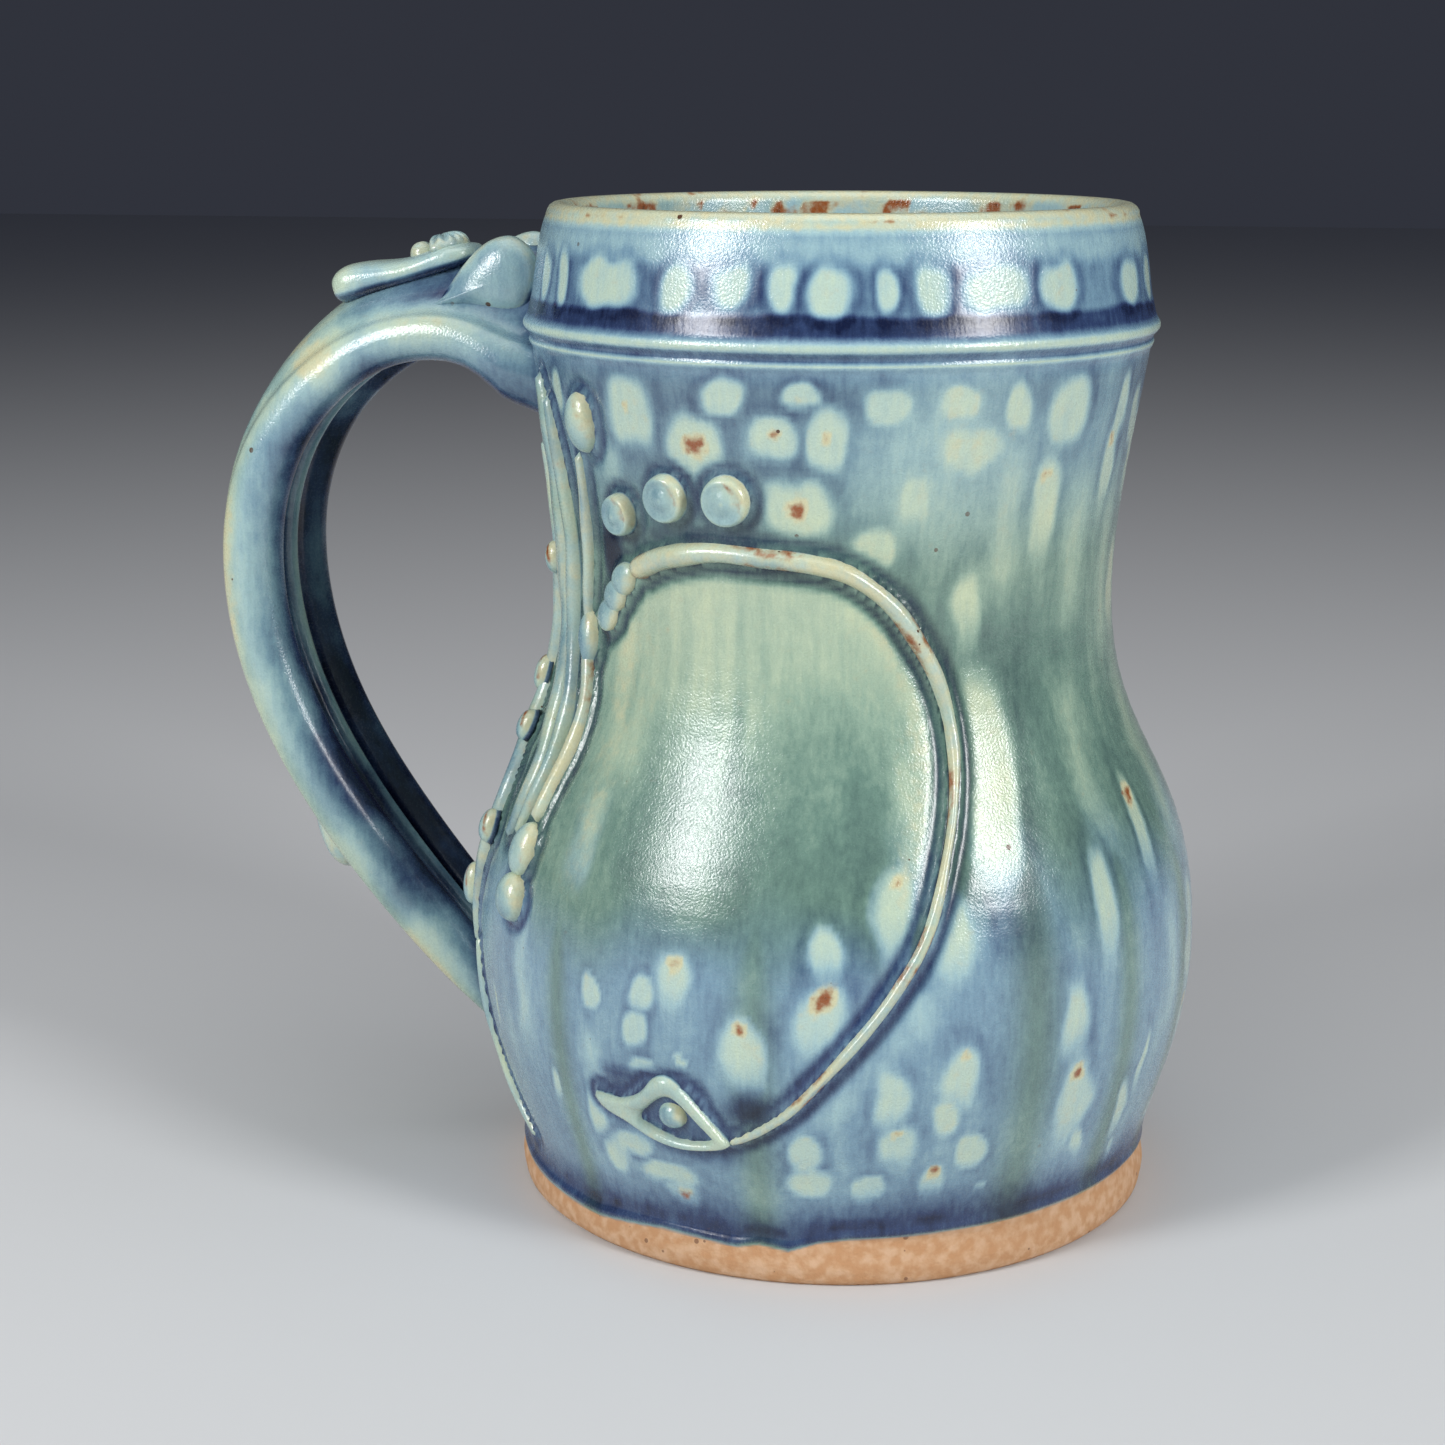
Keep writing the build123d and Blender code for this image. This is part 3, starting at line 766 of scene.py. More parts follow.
WINDOW, TEAR, STREAK = Break.WINDOW, Break.TEAR, Break.STREAK
COLLAR_WINDOWS = [
    (32.0, 3.2), (40.8, 3.4), (54.3, 11.0), (71.0, 4.8), (81.2, 5.2), (90.2, 4.2), (98.5, 4.6),
    (107.2, 2.6),
    (115.8, 5.6), (128.0, 9.2), (140.8, 5.6), (163.5, 6.2), (176.0, 4.2),
]
SPOTS = [
    Spot(37.0, 120.1, 3.2, 6.2, kind=WINDOW), Spot(59.7, 119.0, 7.6, 9.6, 0.2, WINDOW),
    Spot(79.4, 121.6, 5.9, 4.6, kind=WINDOW),
    Spot(93.5, 122.0, 4.8, 3.2, kind=WINDOW), Spot(88.6, 116.3, 5.8, 5.6, 0.3, WINDOW),
    Spot(98.1, 116.4, 5.8, 8.2, 0.15, WINDOW),
    Spot(73.7, 114.6, 7.6, 8.0, 0.9, WINDOW), Spot(92.4, 106.7, 9.6, 8.2, 0.9, WINDOW),
    Spot(108.1, 121.0, 6.4, 5.0, kind=WINDOW),
    Spot(121.0, 120.8, 6.4, 4.6, kind=WINDOW), Spot(132.8, 120.0, 3.6, 6.4, kind=WINDOW),
    Spot(144.7, 119.0, 7.6, 8.6, kind=WINDOW),
    Spot(163.5, 118.0, 3.8, 9.0, kind=WINDOW), Spot(54.0, 109.5, 4.2, 9.0, kind=STREAK),
    Spot(113.9, 108.0, 5.0, 7.6, kind=TEAR),
    Spot(124.0, 114.6, 8.6, 5.6, kind=WINDOW), Spot(141.8, 106.4, 5.6, 15.0, 0.12, TEAR),
    Spot(161.7, 109.8, 4.2, 11.5, 0.3, TEAR),
    Spot(106.7, 101.4, 6.4, 5.2, kind=WINDOW), Spot(125.9, 93.6, 5.6, 10.5, kind=TEAR),
    Spot(118.0, 113.0, 24.0, 24.0, kind=STREAK),
    # The tall pale window at 127.2 degrees, right of the vine, is partly a painted highlight: it stands
    # where the right softbox's reflection falls.
    Spot(127.2, 71.0, 8.6, 26.0, kind=WINDOW), Spot(149.6, 70.8, 6.0, 22.0, kind=STREAK),
    Spot(146.0, 52.8, 4.2, 15.0, kind=TEAR),
    Spot(137.9, 38.3, 5.3, 10.0, kind=TEAR), Spot(140.4, 25.1, 6.0, 13.0, 0.65, TEAR),
    Spot(119.0, 32.2, 6.2, 8.4, 0.2, TEAR),
    Spot(117.2, 26.0, 4.2, 5.2, kind=WINDOW), Spot(110.0, 22.4, 5.2, 5.8, 0.12, TEAR),
    Spot(115.9, 15.8, 4.6, 4.8, 0.4, TEAR),
    Spot(121.8, 20.6, 3.6, 4.0, kind=WINDOW), Spot(105.7, 15.3, 3.8, 3.8, kind=WINDOW),
    Spot(125.2, 14.6, 1.6, 1.6, kind=WINDOW),
    Spot(157.1, 27.6, 2.0, 8.0, kind=TEAR), Spot(153.4, 21.0, 2.8, 7.0, kind=TEAR),
    Spot(154.8, 13.5, 2.0, 4.0, kind=TEAR),
    Spot(160.5, 60.5, 3.6, 13.0, 0.7, TEAR), Spot(143.4, 18.6, 2.6, 4.0, kind=TEAR),
    Spot(165.0, 40.0, 4.6, 16.0, kind=STREAK),
    Spot(75.6, 45.4, 5.0, 7.4, 0.55, TEAR), Spot(87.2, 35.9, 6.2, 9.2, 0.5, TEAR),
    Spot(98.3, 41.0, 8.2, 9.8, 1.0, TEAR),
    Spot(98.8, 50.6, 4.6, 6.6, kind=TEAR), Spot(108.9, 55.6, 6.2, 11.5, 0.2, TEAR),
    Spot(61.5, 40.7, 2.2, 5.2, kind=WINDOW),
    Spot(61.3, 30.6, 3.4, 7.6, kind=STREAK), Spot(71.0, 42.2, 3.3, 4.4, kind=WINDOW),
    Spot(70.2, 37.2, 3.0, 4.8, kind=WINDOW),
    Spot(70.9, 31.8, 3.3, 1.9, kind=WINDOW), Spot(78.0, 33.9, 1.6, 1.6, kind=WINDOW),
    Spot(50.8, 24.8, 1.6, 4.2, kind=TEAR),
    Spot(44.0, 40.0, 3.4, 20.0, kind=STREAK), Spot(32.0, 31.2, 1.6, 6.0, kind=TEAR),
    Spot(63.3, 15.5, 4.0, 4.2, kind=WINDOW),
    Spot(75.4, 12.0, 5.0, 2.6, 0.45, WINDOW), Spot(60.5, 22.6, 2.6, 9.0, kind=WINDOW),
    Spot(66.4, 18.4, 7.0, 3.2, kind=WINDOW),
    Spot(72.0, 14.6, 9.0, 3.0, kind=WINDOW), Spot(96.0, 21.0, 4.2, 4.6, kind=WINDOW),
    Spot(96.9, 16.4, 5.2, 4.4, kind=WINDOW), Spot(108.5, 30.0, 5.0, 7.5, kind=TEAR),
    Spot(112.5, 42.0, 6.0, 8.0, kind=STREAK), Spot(118.0, 52.0, 6.8, 10.0, kind=TEAR),
    Spot(59.3, 79.0, 7.0, 22.0, kind=STREAK), Spot(56.0, 62.0, 5.0, 14.0, kind=STREAK),
    Spot(113.0, 66.0, 6.0, 20.0, kind=STREAK),
    Spot(132.3, 104.0, 7.0, 22.0, kind=STREAK), Spot(152.5, 100.0, 6.0, 20.0, kind=STREAK),
    Spot(168.0, 96.0, 5.0, 24.0, kind=STREAK),
]


def spots_all_round() -> list[Spot]:
    """The spots of the decorated side, with seeded ones in the same rows round the rest.

    Returns:
        Every spot on the outside.
    """
    dice = np.random.default_rng(41)
    spots = list(SPOTS)
    spots += [Spot(angle, 135.6, width, 5.6, kind=WINDOW) for angle, width in COLLAR_WINDOWS]
    angle = 186.0
    while angle < 340.0:
        spots.append(Spot(angle, 135.6, 3.6 + 3.6 * dice.random(), 5.6, kind=WINDOW))
        angle += 8.5 + 5.0 * dice.random()
    rows = [(119.0, 3.2, 6.5, 7.0, WINDOW), (109.0, 4.0, 6.0, 11.0, TEAR), (95.0, 6.0, 5.5, 12.0, TEAR),
            (72.0, 8.0, 6.5, 24.0, STREAK),
            (50.0, 6.0, 5.0, 12.0, TEAR), (37.0, 4.0, 5.5, 10.0, TEAR), (25.0, 3.5, 5.0, 8.5, TEAR),
            (15.6, 1.6, 4.4, 4.4, WINDOW)]
    for height, scatter, width, length, kind in rows:
        angle = 172.0 + 8.0 * dice.random()
        while angle < 356.0:
            swell = 0.6 + 0.8 * dice.random()
            stretch = 0.6 + 0.7 * dice.random()
            iron = max(0.0, 1.6 * dice.random() - 0.75) if kind is TEAR else 0.0
            middle = height + scatter * (2.0 * dice.random() - 1.0)
            spots.append(Spot(angle, middle, width * swell, length * stretch, min(iron, 0.9), kind))
            angle += 9.5 + 9.0 * dice.random()
    return spots


# ---------------------------------------------------------------------------
# Pieces pressed on the wall


@dataclass
class Coil:
    """Rolled coil of clay laid along the wall and smoothed down at its sides."""

    name: str
    course: list[tuple[float, float, float, float]]   # angle, height, width, how far proud
    green: float = 0.25
    warm: float = 0.35
    iron: float = 0.15
    thin: float = 0.50
    weave: float = 0.0
    seed: int = 1
    spacing: float = 0.8

    def path(self, wall: WallShape) -> np.ndarray:
        """Evenly spaced samples of angle, height, width and proudness along the coil.

        Args:
            wall: the body's wall, which gives its radius at each height.

        Returns:
            One row for each sample.
        """
        course = flowing(np.array(self.course), 24)
        flat = np.stack([np.radians(course[:, 0]) * wall.radius(course[:, 1]), course[:, 1]], axis=1)
        run = np.concatenate([[0.0], np.cumsum(np.linalg.norm(np.diff(flat, axis=0), axis=1))])
        even = np.linspace(0.0, run[-1], max(8, int(run[-1] / self.spacing)))
        path = np.stack([np.interp(even, run, course[:, column]) for column in range(4)], axis=1)
        ends = np.minimum(even, run[-1] - even) / (path[:, 2] / 2)
        rounding = np.sqrt(np.clip(1.0 - (1.0 - np.clip(ends, 0.02, 1.0)) ** 2, 0.0, 1.0))
        return np.column_stack([path, rounding, even])

    def footprint(self, wall: WallShape) -> np.ndarray:
        """Angle, height and half width of the coil along its path."""
        path = self.path(wall)
        return np.column_stack([path[:, 0], path[:, 1], path[:, 2] / 2 * path[:, 4]])

    def build(self, wall: WallShape) -> bpy.types.Object:
        """Sweep the coil and dress it.

        Args:
            wall: the wall it lies on.

        Returns:
            The piece.
        """
        path = self.path(wall)
        angle, height, width, proud, rounding, run = path.T
        radius = wall.radius(height)
        heading = np.stack([np.gradient(np.radians(angle) * radius), np.gradient(height)], axis=1)
        heading /= np.linalg.norm(heading, axis=1)[:, None]
        dice = np.random.default_rng(self.seed)
        phase = dice.random(4) * 6.28
        across = np.array([-1.16, -1.02, -0.97, -0.88, -0.74, -0.52, -0.26, 0.0, 0.26, 0.52, 0.74, 0.88,
                           0.97, 1.02, 1.16])
        lift = np.array([-0.55, -0.12, 0.20, 0.47, 0.71, 0.89, 0.98, 1.0, 0.98, 0.89, 0.71, 0.47, 0.20,
                         -0.12, -0.55])
        swell = 1.0 + 0.05 * np.sin(run / 3.1 + phase[0]) + 0.04 * np.sin(run / 1.7 + phase[1])
        sway = self.weave * np.sin(run / 4.4 + phase[2])
        half = (width / 2 * swell * rounding)[:, None]
        out = half * across[None, :] + sway[:, None]
        rise = (proud * swell * rounding ** 0.8)[:, None] * lift[None, :]
        rise = np.where(lift[None, :] < 0, lift[None, :] * 1.1, rise)
        place_height = height[:, None] + out * heading[:, 0][:, None]
        place_angle = angle[:, None] - np.degrees(out * heading[:, 1][:, None] / radius[:, None])
        points = wall.place(place_angle, place_height, rise).reshape(-1, 3)
        patch = np.sin(run / 2.6 + phase[3]) + np.sin(run / 6.3 + phase[0])
        edge = np.abs(across)[None, :]
        thin = self.thin + 0.40 * edge**2 + 0.12 * patch[:, None] * np.sign(across)[None, :]
        thin = np.where(edge > 0.99, 0.1, thin)
        green = np.broadcast_to(self.green + 0.35 * smooth(0.2, 1.6, patch)[:, None], thin.shape)
        warm = np.broadcast_to(self.warm + 0.25 * smooth(-0.4, 1.2, -patch)[:, None], thin.shape)
        rust = self.iron * smooth(0.7, 1.7, np.sin(run / 3.7 + phase[1])[:, None] + edge)
        mesh = Mesh()
        mesh.add(points, thin=thin.ravel(), green=green.ravel(), warm=warm.ravel(), rust=rust.ravel(),
                 pool=np.broadcast_to(np.where(edge > 0.99, 0.7, 0.0), thin.shape).ravel())
        rows, columns = len(path), len(across)
        mesh.grid(rows, columns, 0)
        mesh.cap(range(columns), points[:columns].mean(axis=0), thin=0.6, flip=True)
        mesh.cap(range((rows - 1) * columns, rows * columns), points[-columns:].mean(axis=0), thin=0.6)
        return mesh.build(self.name.replace("_", " ").title().replace(" ", "") + ".Glazed", SPRIG_GLAZE,
                          [self.name])


@dataclass
class Pod:
    """Ball, pod or leaf of clay pressed on the wall."""

    name: str
    angle: float
    height: float
    length: float
    width: float
    proud: float
    turn: float = 0.0
    pointed: float = 0.0
    lift: float = 0.0
    iron: float = 0.35
    button: bool = False
    tip: float = 0.9

    def footprint(self, wall: WallShape) -> np.ndarray:
        """Angle, height and half width of discs that cover the pod.

        Args:
            wall: the body's wall, which gives its radius at each height.

        Returns:
            Rows of angle in degrees, height and half width in mm.
        """
        count = max(1, int(round(self.length / self.width * 2)) - 1)
        reach = (self.length - self.width) / 2
        along = np.linspace(-reach, reach, count) if count > 1 else np.zeros(1)
        turn = math.radians(self.turn)
        heights = self.height + along * math.cos(turn)
        angles = self.angle - np.degrees(along * math.sin(turn) / wall.radius(heights))
        return np.column_stack([angles, heights, np.full(count, self.width / 2)])

    def profile(self) -> list[tuple[float, float]]:
        """Section from middle to skirt as (share of the radius, share of the proudness).

        Returns:
            Points from the middle out.
        """
        if self.button:
            return [(0.14, 1.0), (0.28, 0.95), (0.42, 0.86), (0.56, 0.80), (0.68, 0.81), (0.78, 0.88),
                    (0.87, 0.86),
                    (0.94, 0.70), (0.99, 0.40), (1.02, -0.02), (1.12, -0.55)]
        return [(0.12, 0.995), (0.25, 0.975), (0.40, 0.93), (0.54, 0.86), (0.67, 0.77), (0.79, 0.65),
                (0.88, 0.51),
                (0.95, 0.34), (1.0, 0.10), (1.04, -0.22), (1.14, -0.60)]

    def build(self, wall: WallShape) -> bpy.types.Object:
        """Shape the pod on the wall and dress it.

        Args:
            wall: the wall it is pressed on.

        Returns:
            The piece.
        """
        around = np.linspace(0.0, 2 * np.pi, 32, endpoint=False)
        narrow = 1.0 - self.pointed * smooth(0.1, 1.0, np.sin(around) * math.copysign(1.0, self.tip))
        x = np.cos(around) * self.width / 2 * narrow
        y = np.sin(around) * self.length / 2
        rows, thins, warms, rusts, pools = [], [], [], [], []
        for reach, rise in self.profile():
            depth = rise * self.proud if rise > 0 else rise * 1.2
            rows.append(wall.patch(self.angle, self.height, self.turn, x * reach, y * reach,
                                   np.full(32, self.lift + depth)))
            side = reach * (0.75 * np.cos(around) + 0.45 * np.sin(around))
            thins.append(0.28 + 0.38 * smooth(-0.10, 0.6, side) + 0.40 * smooth(0.78, 0.95, reach)
                         - 0.8 * (reach > 1.0))
            warms.append(0.05 + 0.70 * smooth(0.05, 0.8, side))
            rusts.append(self.iron * np.exp(-(((side - 0.5) / 0.22) ** 2))
                         * np.exp(-((reach - 0.7) / 0.25) ** 2))
            pools.append(np.full(32, 0.8 if reach > 1.0 else 0.0))
        mesh = Mesh()
        mesh.add(np.concatenate(rows), thin=np.concatenate(thins), warm=np.concatenate(warms),
                 rust=np.concatenate(rusts), pool=np.concatenate(pools), green=np.full(32 * len(rows), 0.3))
        mesh.grid(len(rows), 32, 0, flip=True)
        top = wall.patch(self.angle, self.height, self.turn, np.zeros(1), np.zeros(1),
                         np.array([self.lift + self.proud]))
        mesh.cap(range(32), top[0], thin=0.6, warm=0.3, green=0.3)
        base = wall.patch(self.angle, self.height, self.turn, np.zeros(1), np.zeros(1),
                          np.array([self.lift - 0.8]))
        mesh.cap(range(32 * (len(rows) - 1), 32 * len(rows)), base[0], flip=True)
        return mesh.build(self.name.replace("_", " ").title().replace(" ", "") + ".Glazed", SPRIG_GLAZE,
                          [self.name])


@dataclass
class EyeLeaf:
    """Leaf with an eye-shaped hollow, where the vine ends."""

    name: str = "eye_leaf"
    angle: float = 75.5
    height: float = 25.5
    proud: float = 1.35
    outline: list[tuple[float, float]] = field(
        default_factory=lambda: [(-13.2, 0.0), (-11.6, 1.1), (-8.6, 0.6), (-5.0, 2.2), (-2.6, 4.9),
                                 (-0.6, 5.7), (1.4, 4.8),
                                 (4.2, 1.8), (7.4, -2.4), (8.2, -3.9), (5.2, -4.9), (0.8, -5.4),
                                 (-3.4, -4.6), (-7.6, -2.6),
                                 (-11.4, -1.6)]
    )
    hollow: list[tuple[float, float]] = field(
        default_factory=lambda: [(-4.9, -1.7), (-3.2, 0.6), (-1.0, 2.2), (1.0, 2.0), (3.6, -0.6),
                                 (5.6, -3.1), (3.2, -3.9),
                                 (0.2, -3.9), (-3.0, -3.0)]
    )

    def footprint(self, wall: WallShape) -> np.ndarray:
        """Angle, height and half width of discs that cover the leaf.

        Args:
            wall: the body's wall, which gives its radius at each height.

        Returns:
            Rows of angle in degrees, height and half width in mm.
        """
        discs = [(-11.6, -0.2, 1.2), (-8.6, -0.6, 1.4), (-5.6, -0.4, 2.0), (-2.4, 0.6, 3.4),
                 (0.6, 0.4, 4.2), (3.6, -1.6, 2.6),
                 (6.4, -3.2, 1.0)]
        return np.array([
            (self.angle + math.degrees(x / wall.radius(self.height)), self.height + y, half) for x, y,
            half in discs
        ])

    def build(self, wall: WallShape) -> bpy.types.Object:
        """Shape the rim of the leaf between its outline and its hollow.

        Args:
            wall: the wall it is pressed on.

        Returns:
            The piece.
        """
        count = 96
        outer, inner = (self.even(line, count) for line in (self.outline, self.hollow))
        steps = [(-0.05, -0.55), (0.0, 0.0), (0.05, 0.45), (0.14, 0.78), (0.28, 0.97), (0.45, 1.0),
                 (0.62, 0.97),
                 (0.78, 0.84), (0.90, 0.60), (0.97, 0.25), (1.0, -0.15), (1.03, -0.55)]
        rows, thins, pools = [], [], []
        for share, rise in steps:
            line = outer * (1 - share) + inner * share
            rows.append(wall.patch(self.angle, self.height, 0.0, line[:, 0], line[:, 1],
                                   np.full(count, rise * self.proud)))
            thins.append(np.full(count,
                                 0.85 - 0.12 * math.sin(math.pi * min(max(share, 0), 1)) if rise > 0.1
                                 else 0.1))
            pools.append(np.full(count, 0.0 if rise > 0.1 else 0.7))
        mesh = Mesh()
        mesh.add(np.concatenate(rows), thin=np.concatenate(thins), pool=np.concatenate(pools),
                 green=np.full(count * len(rows), 0.35), warm=np.full(count * len(rows), 0.3))
        mesh.grid(len(rows), count, 0, flip=False)
        for column in range(count):
            after = (column + 1) % count
            last = (len(rows) - 1) * count
            mesh.faces.append((last + column, last + after, after, column))
        return mesh.build("EyeLeaf.Glazed", SPRIG_GLAZE, [self.name])

    def even(self, line: list[tuple[float, float]], count: int) -> np.ndarray:
        """Places on a closed outline at even angles about the hollow's middle.

        Args:
            line: the outline.
            count: number of places.

        Returns:
            The places, one per row.
        """
        middle = np.array([0.4, -1.1])
        curve = flowing(np.array(line), 40, closed=True) - middle
        bearing = np.unwrap(np.arctan2(curve[:, 1], curve[:, 0]))
        if bearing[-1] < bearing[0]:
            curve, bearing = curve[::-1], bearing[::-1]
        bearing = np.append(bearing, bearing[0] + 2 * np.pi)
        curve = np.concatenate([curve, curve[:1]])
        wanted = bearing[0] + (np.linspace(0, 2 * np.pi, count, endpoint=False) - bearing[0]) % (2 * np.pi)
        return np.stack([np.interp(wanted, bearing, curve[:, 0]), np.interp(wanted, bearing, curve[:, 1])],
                        axis=1) + middle


# ---------------------------------------------------------------------------
# Thrown body


@dataclass
class ThrownBody:
    """Foot, belly, waist, collar and rim, thrown in one and glazed over its sprigs."""

    wall: WallShape
    footprints: list[np.ndarray]
    loop: list[tuple[float, float]]
    glaze_line: list[tuple[float, float]] = field(
        default_factory=lambda: [(0.0, 5.6), (30.0, 4.6), (56.0, 4.1), (70.0, 5.4), (77.0, 5.3),
                                 (84.0, 4.9), (88.0, 5.6),
                                 (93.0, 5.0), (98.0, 6.4), (103.0, 7.0), (120.0, 7.4), (141.0, 7.6),
                                 (164.0, 7.5),
                                 (190.0, 6.2), (207.0, 6.9), (222.0, 5.2), (240.0, 6.6), (262.0, 7.4),
                                 (281.0, 5.9),
                                 (300.0, 6.8), (325.0, 5.4), (345.0, 6.4), (360.0, 5.6)]
    )

    def columns(self) -> np.ndarray:
        """Angles of the mesh's columns, closer together on the decorated flank."""
        return np.concatenate([np.arange(8.0, 172.0, 0.5), np.arange(173.0, 367.5, 1.5)])

    def heights(self) -> np.ndarray:
        """Heights of the outside rows, closer together at the glaze line and the ridge.

        Returns:
            Heights in mm, from the foot up.
        """
        bands = [(0.0, 3.4, 0.7), (3.4, 9.0, 0.28), (9.0, 122.0, 0.9), (122.0, 133.6, 0.30),
                 (133.6, 143.2, 0.6)]
        rows = [np.arange(low, high - step / 2, step) for low, high, step in bands]
        return np.append(np.concatenate(rows), self.wall.rim_height - self.wall.lip_thickness / 2)

    def edge_distance(self, angle: np.ndarray, height: np.ndarray) -> np.ndarray:
        """Distance to the nearest edge of a pressed-on piece, negative under it.

        Args:
            angle: angles of places on the wall.
            height: their heights.

        Returns:
            The distances, at most 12.
        """
        nearest = np.full(angle.shape, 12.0)
        for footprint in self.footprints:
            low, high = (footprint[:, :2].min(axis=0) - (18.0, 10.0), footprint[:, :2].max(axis=0)
                         + (18.0, 10.0))
            close = (angle > low[0]) & (angle < high[0]) & (height > low[1]) & (height < high[1])
            a, h = angle[close], height[close]
            best = np.full(a.shape, 12.0)
            for other_angle, other_height, half in footprint:
                x = np.radians(a - other_angle) * self.wall.radius(h)
                best = np.minimum(best, np.hypot(x, h - other_height) - half)
            nearest[close] = np.minimum(nearest[close], best)
        return nearest

    def outside_masks(self, angle: np.ndarray, height: np.ndarray) -> tuple[dict[str, np.ndarray],
        np.ndarray]:
        """Glaze masks and relief of the outside.

        Args:
            angle: angles of the points.
            height: their heights.

        Returns:
            The masks by name, and how far each point stands off the plain wall.
        """
        ridge = self.wall.ridge_height
        fine, broad = Flow(11, 150, 5).at(angle, height), Flow(12, 36, 7).at(angle, height)
        drift = Flow(13, 14, 5).at(angle, height)

        # Bands thrown round the collar.
        def band(low: float, high: float, soft: float) -> np.ndarray:
            """Soft-edged band between two heights."""
            return smooth(low - soft, low + soft, height) * (1.0 - smooth(high - soft, high + soft, height))

        thin = 0.80 * smooth(ridge + 13.6, ridge + 15.2, height)
        thin += 0.30 * band(ridge + 10.4, ridge + 13.6, 1.0)
        thin += (0.85 * band(ridge - 0.55, ridge + 0.55, 0.35)
                 + 0.95 * band(ridge - 2.55, ridge - 2.05, 0.22))
        pool = (0.45 * band(ridge - 1.9, ridge - 0.7, 0.25)
                + 0.80 * band(ridge + 1.2, ridge + 4.0 + 0.8 * (broad - 0.5), 0.6))
        pool += 0.16 * band(ridge + 4.0, ridge + 10.0, 1.2) + 0.16 * band(ridge - 9.0, ridge - 3.0, 1.6)
        warm = 0.75 * smooth(ridge + 13.9, ridge + 15.4, height)
        rust = (0.55 * smooth(ridge + 14.6, ridge + 16.6, height)
                * smooth(0.62, 0.85, Flow(14, 120, 4).at(angle, height)))

        # Green over the belly, blue above and below, with columns of green running to the foot.
        below_collar = 1.0 - smooth(ridge - 6.0, ridge - 2.0, height)
        green = (smooth(44.0, 62.0, height + 14.0 * (broad - 0.5))
                 * (1.0 - 0.75 * smooth(96.0, 116.0, height)) * below_collar)
        for column, half in ((88.5, 3.2), (54.0, 2.4), (131.0, 4.4), (150.5, 3.0), (171.0, 3.0),
                             (196.0, 4.0), (229.0, 4.5),
                             (254.0, 3.0), (287.0, 4.2), (318.0, 3.4), (343.0, 3.0)):
            turn = (angle - column + 180.0) % 360.0 - 180.0
            green = np.maximum(green,
                               0.85 * np.exp(-((turn / half) ** 2)) * (1.0 - smooth(60.0, 100.0, height)))
            pool += 0.10 * np.exp(-((turn / half) ** 2)) * (1.0 - smooth(60.0, 90.0, height))
        streak = (fine - 0.5) * 0.26 + (broad - 0.5) * 0.26 + (drift - 0.5) * 0.30
        streak *= below_collar
        thin += np.clip(streak, 0, 1)
        pool += 0.16 * below_collar * smooth(98.0, 108.0, height) * (1.0 - smooth(98.0, 120.0, angle))
        pool += np.clip(-streak, 0, 1) * 0.8

        # The field held by the vine: pale under its arch and beside it, olive in the middle.
        edge_angle = np.interp(height, *np.array(self.loop).T)
        held = (smooth(38.0, 46.0, angle) * (1.0 - smooth(-1.5, 1.0, angle - edge_angle))
                * (1.0 - smooth(97.0, 99.5, height)))
        arch = held * smooth(58.0, 101.0, height + 9.0 * (fine - 0.5))
        beside = held * smooth(50.0, 64.0, height) * np.exp(-(((angle - edge_angle + 5.0) / 3.6) ** 2))
        strandside = held * smooth(46.0, 56.0, height) * np.exp(-(((angle - 54.0) / 5.0) ** 2))
        beyond = smooth(20.0, 30.0, height) * (1.0 - smooth(50.0, 60.0, height))
        thin += 0.34 * beyond * np.exp(-(((angle - edge_angle - 6.5) / 3.6) ** 2)) * (0.5 + broad)
        middle = (held * smooth(42.0, 52.0, height) * (1.0 - smooth(60.0, 84.0, height))
                  * smooth(52.0, 70.0, angle))
        thin = thin * (1.0 - 0.6 * held) + 0.74 * arch + 0.26 * beside + 0.22 * strandside
        warm += 0.16 * arch + 0.34 * beside + 0.3 * strandside
        pool = pool * (1.0 - 0.6 * held) + 0.08 * middle * (1.0 - beside)
        green = np.maximum(green, held * smooth(42.0, 56.0, height + 12.0 * (broad - 0.5)))
        # This cream tint right of the vine also lands on the painted highlight at 127 degrees.
        past = (angle > edge_angle) & (angle < 180.0)
        warm += (0.14 * past * smooth(54.0, 70.0, height) * (1.0 - smooth(92.0, 104.0, height))
                 * smooth(0.3, 0.7, thin))

        # Spots, each with a ring of bluer glaze round it; the tall window at 127 degrees is partly a painted
        # highlight.
        bent = angle + 2.2 * (Flow(15, 90, 30).at(angle, height) - 0.5)
        sagged = height + 1.6 * (Flow(16, 90, 26).at(angle, height) - 0.5)
        for spot in spots_all_round():
            pale, ring, iron = spot.strength(self.wall, bent, sagged)
            pool += (0.26 if spot.height > ridge else 0.16) * ring
            thin = np.maximum(thin, 0.82 * pale) + 0.10 * pale * thin
            green *= 1.0 - 0.75 * smooth(0.02, 0.35, pale) * (1.0 - smooth(48.0, 70.0, height))
            warm += 0.28 * pale * smooth(0.1, 0.8, fine) + 0.9 * smooth(0.05, 0.3, iron)
            pool *= 1.0 - 0.9 * pale
            rust = np.maximum(rust, iron)

